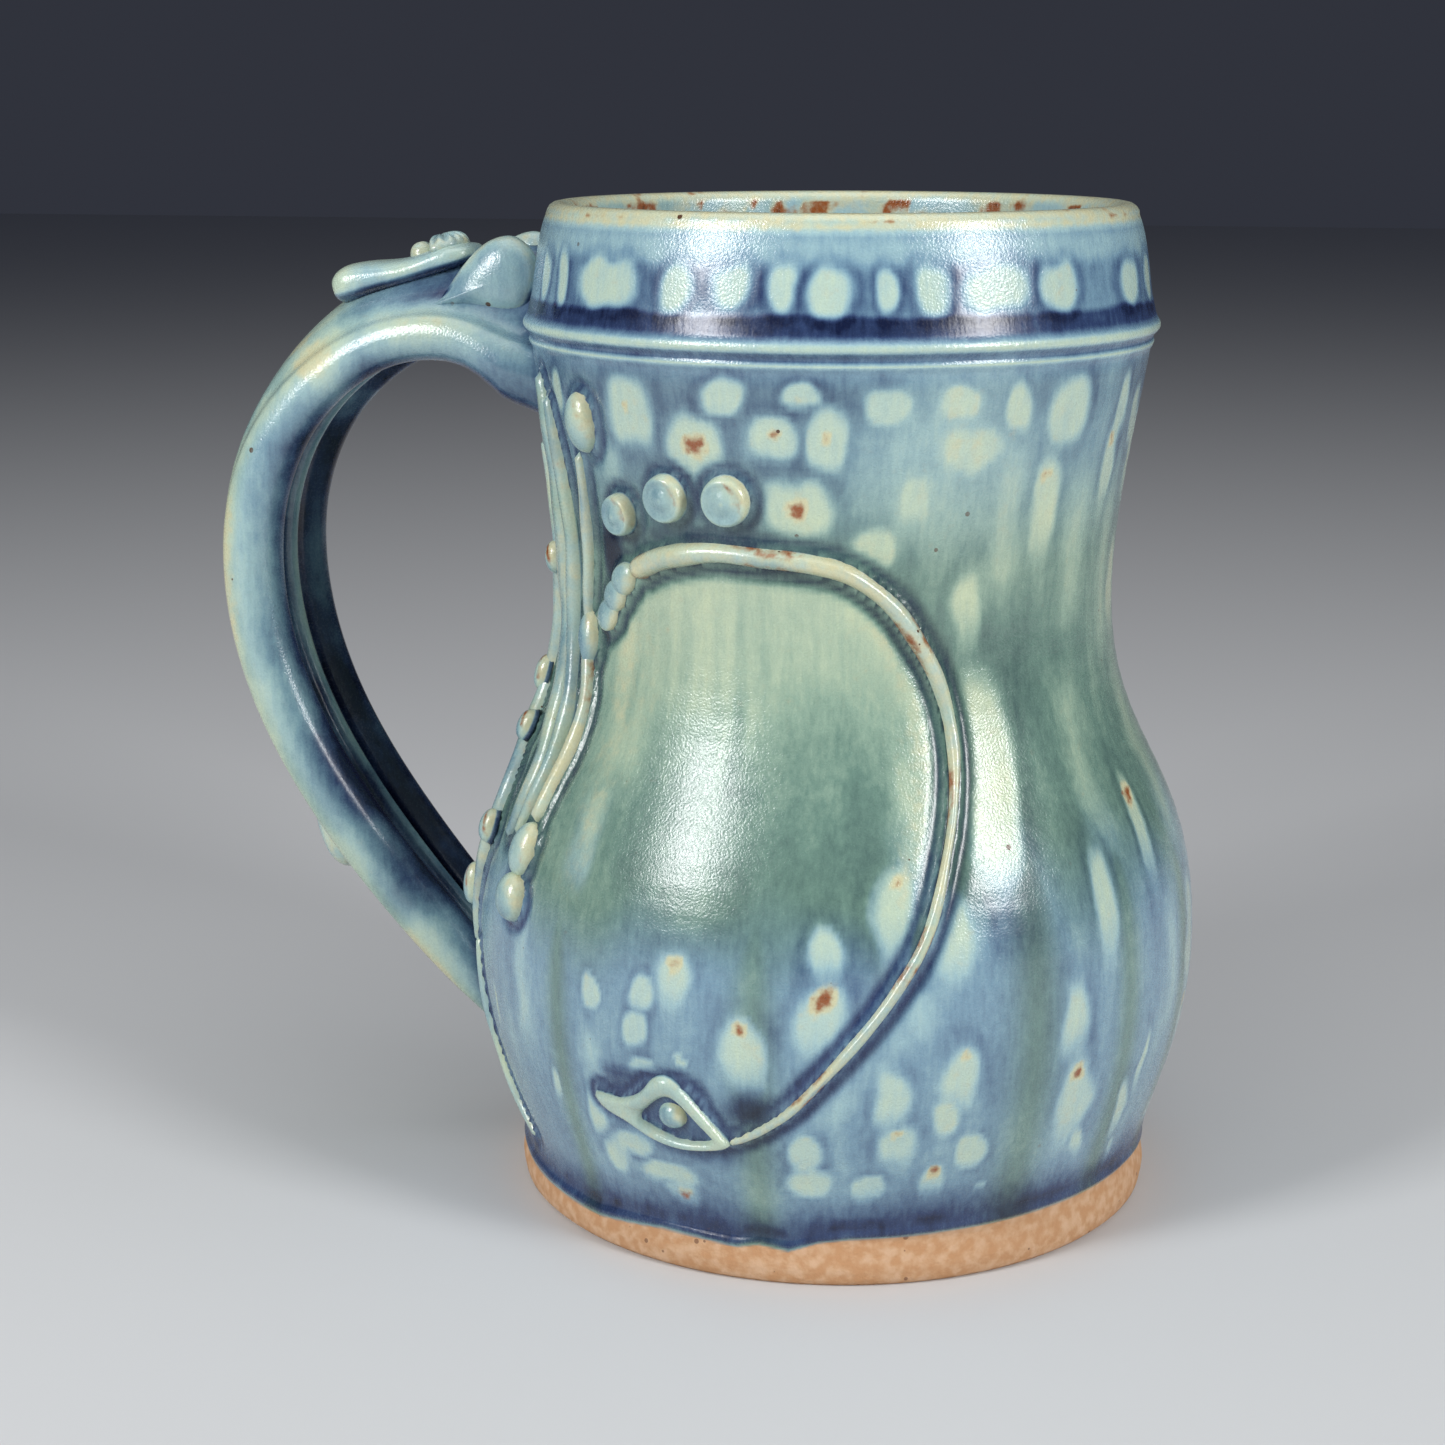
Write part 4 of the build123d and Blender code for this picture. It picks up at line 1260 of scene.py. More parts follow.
        # Glaze gathers beside every piece pressed on, and breaks on the clay nudged up against it.
        edge = self.edge_distance(angle, height)
        trough = (np.exp(-(((edge - 1.15) / 1.15) ** 2)) * (edge < 1.15)
                  + np.exp(-(((edge - 1.15) / 0.95) ** 2)) * (edge >= 1.15))
        trough = np.where(edge < 0.0, 1.0, trough)
        gathered = np.where(edge < -0.3, 0.42, 0.60)
        pool = np.maximum(pool * (1.0 - 0.3 * trough),
                          gathered * trough + 0.1 * trough * smooth(60.0, 20.0, height))
        thin *= 1.0 - trough
        warm *= 1.0 - trough
        rust *= 1.0 - trough
        for hole_angle, hole_height, half_turn, half_height, depth in (
            (49.6, 98.6, 4.2, 6.4, 1.0), (47.0, 89.0, 2.2, 6.0, 0.95), (74.0, 102.6, 17.0, 1.8, 0.72),
            (88.0, 27.4, 4.0, 3.2, 0.9), (66.5, 29.6, 3.6, 1.5, 0.6), (79.0, 20.2, 9.0, 2.4, 0.6),
            (29.0, 70.0, 1.6, 18.0, 0.55),
        ):
            near = np.exp(-(((angle - hole_angle) / half_turn) ** 2
                            + ((height - hole_height) / half_height) ** 2) ** 1.3)
            pool = np.maximum(pool, depth * near)
            thin *= 1.0 - near

        # Thick roll above the foot and bare clay below the glaze line.
        line = np.interp(angle % 360.0, *np.array(self.glaze_line).T)
        above = height - line
        clay = 1.0 - smooth(-0.14, 0.14, above)
        foot_pool = 1.0 - smooth(1.5, 9.0 + 5.0 * (broad - 0.5), above)
        pool = np.maximum(pool,
                          0.72 * foot_pool
                          + 0.25 * np.exp(-(((above - 2.6) / 0.9) ** 2)) * smooth(0.35, 0.7, fine))
        thin = thin * (1.0 - foot_pool) + 0.75 * np.exp(-(((above - 0.15) / 0.28) ** 2))
        green += 0.6 * np.exp(-(((above - 0.2) / 0.4) ** 2))
        warm = warm * (1.0 - foot_pool)

        # Relief: throwing rings, troughs, the glaze's own thickness.
        rings = (0.02 * np.sin(height * 1.9 + 0.4 * np.sin(np.radians(angle) * 2)) * below_collar
                 * smooth(12.0, 20.0, height))
        relief = (rings - 0.38 * np.where(edge > 0, trough, 0.0) * (edge > 0.2)
                  + 0.26 * np.exp(-((edge / 0.45) ** 2)))
        relief += 0.34 * np.exp(-(((above - 0.75) / 0.62) ** 2)) * (above > -0.2)
        relief += 0.10 * smooth(0.2, 0.9, pool) - 0.07 * smooth(0.3, 0.9, thin) * below_collar
        relief += 0.35 * (drift - 0.5) * smooth(12.0, 30.0, height) * below_collar
        relief = np.where(height < 0.2, 0.0, relief)
        masks = {"thin": thin, "pool": pool, "green": green, "warm": warm, "rust": rust, "clay": clay}
        return masks, relief

    def inside_masks(self, angle: np.ndarray, height: np.ndarray) -> dict[str, np.ndarray]:
        """Glaze masks of the lip and the inside.

        Args:
            angle: angles of the points.
            height: their heights.

        Returns:
            The masks by name.
        """
        top = self.wall.rim_height
        fine = Flow(21, 90, 6).at(angle, height)
        blots = 0.6 * Flow(22, 40, 36).at(angle, height) + 0.4 * Flow(23, 110, 90).at(angle, height)
        lip = smooth(top - 1.7, top - 0.6, height)
        under = smooth(top - 8.0, top - 3.5, height) * (1.0 - lip)
        thin = 0.75 * lip + 0.42 * under + 0.30 * (fine - 0.3) * (height < top - 8.0)
        rust = 0.95 * under * smooth(0.53, 0.68, blots) + 0.4 * lip * smooth(0.62, 0.82, blots)
        warm = 0.7 * lip + 0.8 * under * smooth(0.42, 0.62, blots)
        pool = (0.30 * smooth(30.0, 8.0, height)
                + 0.25 * smooth(top - 14.0, top - 10.0, height) * (height < top - 7.0))
        return {"thin": thin, "pool": pool, "green": 0.4 * smooth(0.3, 0.8, fine), "warm": warm,
                "rust": rust}

    def build(self) -> bpy.types.Object:
        """Throw the body, lay the glaze on it and hand it to the frame.

        Returns:
            The mesh object that stands for the piece.
        """
        wall, columns = self.wall, self.columns()
        count = len(columns)
        mesh = Mesh()
        rows = self.heights()
        angle, height = (grid.ravel() for grid in np.meshgrid(columns, rows))
        masks, relief = self.outside_masks(angle, height)
        mesh.add(wall.place(angle, height, relief), **masks)
        half_lip = wall.lip_thickness / 2
        turns = np.linspace(0.0, np.pi, 9)[1:-1]
        lip = np.stack([wall.rim_radius - half_lip + half_lip * np.cos(turns),
                        wall.rim_height - half_lip + half_lip * np.sin(turns)], axis=1)
        within = np.concatenate([lip, wall.inside])
        radius, _ = np.meshgrid(within[:, 0], columns, indexing="ij")
        level, turn = np.meshgrid(within[:, 1], columns, indexing="ij")
        radius, level, turn = radius.ravel(), level.ravel(), turn.ravel()
        wobble = 0.06 * np.sin(level * 1.3 + np.radians(turn))
        bearing = np.radians(turn)
        points = np.stack([-(radius + wobble) * np.cos(bearing), -(radius + wobble) * np.sin(bearing),
                           level], axis=1)
        mesh.add(points, **self.inside_masks(turn, level))
        total = len(rows) + len(within)
        mesh.grid(total, count, 0)
        mesh.cap(range((total - 1) * count, total * count), np.array([0.0, 0.0, wall.floor_thickness]),
                 pool=0.5)
        mesh.cap(range(count), np.zeros(3), flip=True, clay=1.0)
        return mesh.build("ThrownBody.Glazed", BODY_GLAZE, ["thrown_body"])


# ---------------------------------------------------------------------------
# Handle


@dataclass
class PulledHandle:
    """Pulled strap with rolled edges and a rib, thumbed on under the collar and at the foot of the belly."""

    wall: WallShape
    grip_reach: float = 88.0
    grip_height: float = 91.0
    head_drop: float = 1.2
    foot_height: float = 20.0
    sink: float = 5.0
    half_width: float = 13.1
    thickness: float = 9.6
    crown: float = 1.0
    rib: float = 1.7
    stations: list[tuple[float, float, float, float, float]] = field(
        default_factory=lambda: [   # share of the length, width, thickness, crown, droop of the rolled edges
            (0.00, 1.14, 1.24, 5.2, 0.95), (0.05, 1.10, 1.00, 5.2, 0.60), (0.10, 1.04, 0.80, 5.2, 0.26),
            (0.17, 1.00, 0.76, 4.9, 0.08), (0.26, 0.99, 0.84, 3.4, 0.03), (0.36, 1.00, 0.96, 1.8, 0.00),
            (0.50, 1.00, 1.00, 1.0, 0.00), (0.64, 0.97, 1.00, 0.8, 0.00), (0.78, 0.92, 1.00, 0.8, 0.00),
            (0.90, 0.84, 0.92, 0.8, 0.00), (1.00, 0.66, 0.66, 0.5, 0.00),
        ]
    )

    def course(self) -> np.ndarray:
        """Centre line as (X, Z) samples from the collar to the foot.

        Returns:
            Rows of X and Z in mm, evenly spaced.
        """
        wall = self.wall
        head = wall.ridge_height - self.head_drop
        rise = self.grip_height - self.foot_height
        upper = bezier([
            (self.sink - float(wall.radius(head)), head), (-0.74 * self.grip_reach, head + 6.0),
            (-self.grip_reach, self.grip_height + 0.73 * (head - self.grip_height)),
            (-self.grip_reach, self.grip_height)], 200)
        lower = bezier([
            (-self.grip_reach, self.grip_height), (-self.grip_reach, self.grip_height - 0.38 * rise),
            (-0.77 * self.grip_reach, self.foot_height + 0.31 * rise),
            (self.sink - float(wall.radius(self.foot_height)), self.foot_height - 2.0)], 200)
        line = np.concatenate([upper, lower[1:]])
        run = np.concatenate([[0.0], np.cumsum(np.linalg.norm(np.diff(line, axis=0), axis=1))])
        even = np.linspace(0.0, run[-1], 401)
        return np.stack([np.interp(even, run, line[:, axis]) for axis in range(2)], axis=1)

    def frame(self, share: float) -> tuple[np.ndarray, np.ndarray, np.ndarray]:
        """Middle, outward direction and heading at a share of the strap's length, as (X, Z) pairs.

        Args:
            share: place along the strap, from 0 at the collar to 1 at the foot.

        Returns:
            The middle, the outward direction and the heading.
        """
        line = self.course()
        place = share * (len(line) - 1)
        index = int(min(max(round(place), 1), len(line) - 2))
        heading = line[index + 1] - line[index - 1]
        heading /= np.linalg.norm(heading)
        middle = np.array([np.interp(place, np.arange(len(line)), line[:, axis]) for axis in range(2)])
        return middle, np.array([heading[1], -heading[0]]), heading

    def section(self, share: float) -> np.ndarray:
        """Closed outline across the strap with its glaze depth, as (across, outward, depth) rows; on the
        inner face the depth also holds painted shade.

        Args:
            share: place along the strap, from 0 at the collar to 1 at the foot.

        Returns:
            One row for each point of the outline.
        """
        stations = flowing(np.array(self.stations), 24)
        width, thick, crown, droop = (np.interp(share, stations[:, 0], stations[:, column])
                                      for column in range(1, 5))
        half, roll = self.half_width * width, self.thickness * thick / 2
        crown, droop = self.crown * crown, self.thickness * droop
        groove = -0.40 * roll - 0.55 * droop
        valley = float(1.0 - smooth(0.12, 0.21, share))
        right = [
            (0.0, roll + crown, 0.20 + 0.18 * valley),
            (0.48 * half, roll + (0.60 - 0.30 * valley) * crown - 0.4 * droop, 0.26 + 0.52 * valley),
            (half - 0.95 * roll, roll - droop, 0.17 + 0.19 * valley),
            (half - 0.28 * roll, 0.70 * roll - droop, 0.15 + 0.09 * valley),
            (half, -droop, 0.34 + 0.08 * valley),
            # From here round the inner face, turned to the body, the depth runs to dark navy: partly pooled
            # glaze, partly painted shade.
            (half - 0.28 * roll, -0.70 * roll - droop, 0.64),
            (half - 0.95 * roll, -roll - droop, 0.86),
            (half - 1.62 * roll, -0.58 * roll - 0.8 * droop, 0.97),
            (0.34 * half, groove + 0.35, 0.98),
            (0.14 * half, groove - 0.25, 0.86),
            (0.07 * half, groove - 0.75 * self.rib, 0.52),
        ]
        tip = [(0.0, groove - self.rib, 0.38)]
        left = [(-x, y, depth) for x, y, depth in reversed(right[1:])]
        return flowing(np.array(right + tip + left), 6, closed=True)

    def build(self) -> bpy.types.Object:
        """Pull the strap, lay it against the wall and dress it.

        Returns:
            The mesh object that stands for the piece.
        """
        line = self.course()
        shares = np.linspace(0.0, 1.0, 230)
        fine = np.random.default_rng(7).random(64)
        rows, thins, pools, warms, rusts, greens = [], [], [], [], [], []
        for share in shares:
            middle, outward, _ = self.frame(share)
            outline = self.section(share)
            across, out, depth = outline.T
            x, z = middle[0] + outward[0] * out, middle[1] + outward[1] * out
            y = -across
            reach = np.hypot(x, y)
            least = self.wall.radius(z) - 2.2
            push = np.maximum(least / np.maximum(reach, 1.0), 1.0)
            ashore = 1.0 - smooth(0.0, 0.045, share)
            push = push * (1.0 - ashore) + least / np.maximum(reach, 1.0) * ashore
            rows.append(np.stack([x * push, y * push, z], axis=1))
            gap = reach - self.wall.radius(z)
            seam = np.exp(-((np.maximum(gap, 0.0) / 2.2) ** 2))
            blotch = np.interp((share * 23.0 + across * 0.05) % 63, np.arange(64), fine) - 0.5
            depth = depth + 0.30 * blotch + 0.05 * np.sin(across * 1.7 + share * 9.0)
            inner = smooth(0.6, 0.9, depth)
            # On the inner face a high depth is partly painted shade; it goes into the pool mask here.
            thins.append(np.clip(1.0 - 2.0 * depth, 0.0, 1.0) * (1.0 - 0.8 * seam))
            pools.append(np.clip(np.maximum(2.0 * depth - 1.0, 0.75 * seam), 0.0, 1.0))
            warms.append(0.70 * smooth(0.26, 0.04, depth) * smooth(0.05, -0.25, blotch) + 0.1)
            olive = 0.45 * smooth(0.5, 3.5, out) * smooth(0.14, 0.24, share)
            greens.append(0.14 + 0.2 * smooth(0.3, 0.6, share) - 0.1 * inner + olive)
            rusts.append(0.30 * smooth(0.16, 0.02, depth) * smooth(0.15, 0.45, blotch))
        mesh = Mesh()
        mesh.add(np.concatenate(rows), thin=np.concatenate(thins), pool=np.concatenate(pools),
                 warm=np.concatenate(warms),
                 green=np.concatenate(greens), rust=np.concatenate(rusts))
        count = len(rows[0])
        mesh.grid(len(rows), count, 0)
        mesh.cap(range(count), rows[0].mean(axis=0), flip=True)
        mesh.cap(range((len(rows) - 1) * count, len(rows) * count), rows[-1].mean(axis=0))
        LOG.info("strap length %.1f mm", np.linalg.norm(np.diff(line, axis=0), axis=1).sum())
        return mesh.build("PulledHandle.Glazed", HANDLE_GLAZE, ["pulled_handle"])


@dataclass
class Pillow:
    """Soft leaf or slab of clay, domed on both faces of a closed outline."""

    name: str
    origin: np.ndarray
    right: np.ndarray
    up: np.ndarray
    outline: list[tuple[float, float]]
    front: float
    back: float
    heart: tuple[float, float]
    thin: float = 0.55
    edge_thin: float = 0.85
    painted_shade_edge: float = 0.0
    green: float = 0.15
    warm: float = 0.25
    flutes: float = 0.0

    def build(self) -> bpy.types.Object:
        """Shape the pillow, dress it and hand it to the frame.

        Returns:
            The mesh object that stands for the piece.
        """
        normal = np.cross(self.right, self.up)
        curve = flowing(np.array(self.outline), 8, closed=True)
        area = np.sum(curve[:, 0] * np.roll(curve[:, 1], -1) - np.roll(curve[:, 0], -1) * curve[:, 1])
        if area < 0:
            curve = curve[::-1]
        heart = np.array(self.heart)
        count = len(curve)
        mesh = Mesh()
        levels = [(0.14, 1), (0.30, 1), (0.46, 1), (0.60, 1), (0.73, 1), (0.84, 1), (0.92, 1), (0.98, 1),
                  (1.0, 0),
                  (0.98, -1), (0.92, -1), (0.80, -1), (0.60, -1), (0.34, -1)]
        for reach, side in levels:
            spread = heart + (curve - heart) * reach
            bulge = (1.0 - reach**2.4) ** 0.5
            ripple = 1.0 + self.flutes * np.cos(np.arctan2(*(curve - heart).T) * 14.0) * reach
            out = (self.front if side > 0 else -self.back) * bulge * ripple * abs(side)
            points = (self.origin + spread[:, :1] * self.right + spread[:, 1:] * self.up
                      + out[:, None] * normal)
            rim = smooth(0.72, 0.95, reach) if side >= 0 else 1.0
            wave = 0.10 * np.sin(spread[:, 0] * 0.9 + spread[:, 1] * 0.5)
            # Painted shade: the leaf's lower rim, where it curls into a crease against the strap, is
            # darkened through the pool mask.
            low = (smooth(0.2, 0.9, self.painted_shade_edge) * smooth(0.0, 1.0, (heart[1] - spread[:, 1]) / 3.0)
                   * (reach > 0.85))
            mesh.add(points, thin=self.thin + wave + (self.edge_thin - self.thin) * rim - low, pool=low,
                     green=self.green,
                     warm=self.warm + 0.3 * rim)
        mesh.grid(len(levels), count, 0, flip=True)
        top = self.origin + heart[0] * self.right + heart[1] * self.up
        mesh.cap(range(count), top + self.front * normal, thin=self.thin, green=self.green, warm=self.warm)
        last = (len(levels) - 1) * count
        mesh.cap(range(last, last + count), top - self.back * normal, flip=True, thin=self.thin)
        return mesh.build(self.name.replace("_", " ").title().replace(" ", "") + ".Glazed", HANDLE_GLAZE,
                          [self.name])


@dataclass
class HandleTrim:
    """Thumb rest, its comb and bead, the shoulder leaves and the spur."""

    handle: PulledHandle
    rest_start: tuple[float, float] = (-76.0, 131.4)
    rest_end: tuple[float, float] = (-54.0, 137.2)
    rest_width: float = 12.6

    def chord(self, share: float, lift: float) -> np.ndarray:
        """Place on the thumb rest's line, lifted off it.

        Args:
            share: place along the rest, from 0 at its outer end to 1 at the collar.
            lift: distance off the line in mm.

        Returns:
            The place as X, Y and Z in mm.
        """
        start, end = np.array(self.rest_start), np.array(self.rest_end)
        along = (end - start) / np.linalg.norm(end - start)
        middle = start + share * (end - start) + lift * np.array([-along[1], along[0]])
        return np.array([middle[0], 0.0, middle[1]])

    def thumb_rest(self) -> bpy.types.Object:
        """The slab: a tongue with a rounded nose, thicker at its outer end.

        Returns:
            The mesh object that stands for the piece.
        """
        stations = np.linspace(0.0, 1.0, 34)
        around = np.linspace(0.0, 2 * np.pi, 40, endpoint=False)
        rows, thins, pools = [], [], []
        for share in stations:
            nose = math.sqrt(max(1.0 - (1.0 - min(share / 0.16, 1.0)) ** 2, 0.0))
            tail = math.sqrt(max(1.0 - (1.0 - min((1.0 - share) / 0.20, 1.0)) ** 2, 0.0))
            half = self.rest_width / 2 * (0.35 + 0.65 * nose) * (0.5 + 0.5 * tail) * (1.0 - 0.1 * share)
            thick = (2.9 - 1.3 * share) * (0.30 + 0.70 * nose) * (0.4 + 0.6 * tail)
            y = -np.sign(np.cos(around)) * np.abs(np.cos(around)) ** 0.75 * half
            up = np.sign(np.sin(around)) * np.abs(np.sin(around)) ** 0.8 * thick
            hump = 0.35 * math.sin(share * 9.0) * (np.sin(around) > 0)
            start = self.chord(share, 0.0)
            rise = self.chord(share, 1.0) - start
            rows.append(start + np.stack([0 * y, y, 0 * y], axis=1) + (up + hump)[:, None] * rise)
            # Painted shade: the slab's underside, facing down onto the strap, is made dark navy through the
            # pool mask.
            low = smooth(-0.05, -0.45, np.sin(around))
            thins.append(0.76 + 0.25 * smooth(0.2, 0.9, np.cos(around * 2 + 1.5)) - 0.8 * low
                         + 0.12 * np.sin(share * 15 + around))
            pools.append(0.85 * low)
        mesh = Mesh()
        mesh.add(np.concatenate(rows), thin=np.concatenate(thins), pool=np.concatenate(pools),
                 green=np.full(34 * 40, 0.12), warm=np.full(34 * 40, 0.2))
        mesh.grid(34, 40, 0)
        mesh.cap(range(40), rows[0].mean(axis=0), flip=True, thin=0.6)
        mesh.cap(range(33 * 40, 34 * 40), rows[-1].mean(axis=0), thin=0.3)
        return mesh.build("ThumbRest.Glazed", HANDLE_GLAZE, ["thumb_rest"])

    def comb(self) -> bpy.types.Object:
        """Small fluted shell behind the bead.

        Returns:
            The mesh object that stands for the piece.
        """
        heading = self.chord(1.0, 0.0) - self.chord(0.0, 0.0)
        heading /= np.linalg.norm(heading)
        shell = [(-4.6, -1.2), (-4.2, 1.2), (-2.6, 2.6), (0.0, 3.2), (2.6, 2.6), (4.2, 1.2), (4.6, -1.2),
                 (0.0, -2.0)]
        return Pillow("thumb_rest_comb", self.chord(0.80, 1.9), np.array([0.0, -1.0, 0.0]), heading, shell,
                      1.9, 1.2,
                      (0.0, -0.6), thin=0.35, edge_thin=0.6, flutes=0.30, green=0.2).build()

    def bead(self) -> bpy.types.Object:
        """Round bead pressed on the rest.

        Returns:
            The mesh object that stands for the piece.
        """
        heading = self.chord(1.0, 0.0) - self.chord(0.0, 0.0)
        heading /= np.linalg.norm(heading)
        ring = [(1.9 * math.cos(t), 1.9 * math.sin(t))
                for t in np.linspace(0, 2 * math.pi, 8, endpoint=False)]
        return Pillow("thumb_rest_bead", self.chord(0.62, 1.5), np.array([0.0, -1.0, 0.0]), heading, ring,
                      2.1, 1.0,
                      (0.0, 0.0), thin=0.7, edge_thin=0.5, warm=0.5).build()

    def shoulder_leaf(self, flank: Flank) -> bpy.types.Object:
        """Leaf folded up against the collar, beside the thumb rest.

        Args:
            flank: which side of the handle it lies on.

        Returns:
            The piece.
        """
        name = "near_shoulder_leaf" if flank is Flank.NEAR else "far_shoulder_leaf"
        outline = [(-62.5, 128.4), (-58.0, 131.0), (-54.4, 135.6), (-51.0, 138.8), (-47.6, 139.9),
                   (-45.2, 139.0),
                   (-43.4, 136.6), (-43.2, 132.6), (-44.6, 129.6), (-48.0, 128.6), (-54.0, 129.2),
                   (-59.0, 128.6)]
        side = float(flank.value)
        right = np.array([-side, 0.0, 0.0])
        spread = [(-side * x, z) for x, z in outline]
        return Pillow(name, np.array([0.0, side * 6.4, 0.0]), right, np.array([0.0, 0.0, 1.0]), spread, 3.4,
                      2.4,
                      (side * 48.6, 133.6), thin=0.18, edge_thin=0.52, painted_shade_edge=0.8, warm=0.10).build()

    def spur(self) -> bpy.types.Object:
        """Leaf trailing off the back of the strap.

        Returns:
            The mesh object that stands for the piece.
        """
        middle, outward, heading = self.handle.frame(0.72)
        heading = 0.98 * heading + 0.2 * outward
        lift = self.handle.thickness / 2 + 1.7
        origin = np.array([middle[0] + outward[0] * lift, 0.0, middle[1] + outward[1] * lift])
        along = np.array([heading[0], 0.0, heading[1]])
        leaf = [(-7.5, 0.0), (-4.0, 2.8), (1.5, 3.9), (5.4, 2.8), (6.8, 0.0), (5.4, -2.8), (1.5, -3.9),
                (-4.0, -2.8)]
        return Pillow("spur_leaf", origin, along, np.array([0.0, -1.0, 0.0]), leaf, 2.9, 3.0, (2.0, 0.0),
                      thin=0.45,
                      edge_thin=0.7).build()


# ---------------------------------------------------------------------------
# Studio


@dataclass(frozen=True)
class Lamp:
    """Softbox: where it stands round the object, its size and its brightness."""

    name: str
    azimuth: float      # from the camera towards its right, in degrees
    elevation: float
    distance: float
    width: float
    height: float
    watts: float


@dataclass
class Studio:
    """Floor, light and camera, in metres."""

    camera_distance: float = 0.37597
    camera_height: float = 0.15948
    camera_turn: float = 10.0       # round the object from the decorated flank's normal
    tilt_down: float = 13.60
    aim_left: float = 2.58
    lens: float = 64.54
    sensor: float = 36.0
    target_height: float = 0.075
    lamps: tuple[Lamp, ...] = (
        Lamp("SoftboxLeft", -50.0, 27.0, 0.75, 0.17, 0.34, 3.5),
        Lamp("SoftboxRight", 52.0, 25.0, 0.75, 0.17, 0.34, 3.3),
        Lamp("Overhead", 10.0, 84.0, 0.95, 1.0, 1.0, 3.7),
    )

    def floor(self) -> None:
        """Lay a plain pale floor."""
        mesh = bpy.data.meshes.new("Floor")
        half = 3.0
        mesh.from_pydata([(-half, -half, 0), (half, -half, 0), (half, half, 0), (-half, half, 0)], [],
                         [(0, 1, 2, 3)])
        paint = bpy.data.materials.new("floor_paper")
        paint.use_nodes = True
        shader = paint.node_tree.nodes["Principled BSDF"]
        shader.inputs["Base Color"].default_value = (0.66, 0.67, 0.68, 1.0)
        shader.inputs["Roughness"].default_value = 0.75
        mesh.materials.append(paint)
        floor = bpy.data.objects.new("Floor", mesh)
        bpy.context.scene.collection.objects.link(floor)

    def light(self) -> None:
        """Set up the softboxes and a dim even surround."""
        target = Vector((0.0, 0.0, self.target_height))
        for lamp in self.lamps:
            data = bpy.data.lights.new(lamp.name, "AREA")
            data.shape = "RECTANGLE"
            data.size, data.size_y, data.energy = lamp.width, lamp.height, lamp.watts
            turn = math.radians(self.camera_turn + lamp.azimuth)
            rise = math.radians(lamp.elevation)
            away = Vector((math.sin(turn) * math.cos(rise), -math.cos(turn) * math.cos(rise),
                           math.sin(rise)))
            box = bpy.data.objects.new(lamp.name, data)
            box.location = target + away * lamp.distance
            box.rotation_euler = away.to_track_quat("Z", "Y").to_euler()
            bpy.context.scene.collection.objects.link(box)
        world = bpy.data.worlds.new("Surround")
        world.use_nodes = True
        world.node_tree.nodes["Background"].inputs["Color"].default_value = (0.030, 0.033, 0.045, 1.0)
        world.node_tree.nodes["Background"].inputs["Strength"].default_value = 1.0
        bpy.context.scene.world = world
        bpy.context.scene.view_settings.view_transform = "Standard"

    def camera(self) -> None:
        """Stand the camera in front of the decorated flank."""
        data = bpy.data.cameras.new("Camera")
        data.sensor_width, data.lens = self.sensor, self.lens
        turn, down, left = (math.radians(a) for a in (self.camera_turn, self.tilt_down, self.aim_left))
        forward = Vector((-math.sin(left) * math.cos(down), math.cos(left) * math.cos(down),
                          -math.sin(down)))
        forward = Matrix.Rotation(turn, 3, "Z") @ forward
        eye = bpy.data.objects.new("Camera", data)
        eye.location = (self.camera_distance * math.sin(turn), -self.camera_distance * math.cos(turn),
                        self.camera_height)
        eye.rotation_euler = forward.to_track_quat("-Z", "Y").to_euler()
        bpy.context.scene.collection.objects.link(eye)
        bpy.context.scene.camera = eye


# ---------------------------------------------------------------------------
# The stein


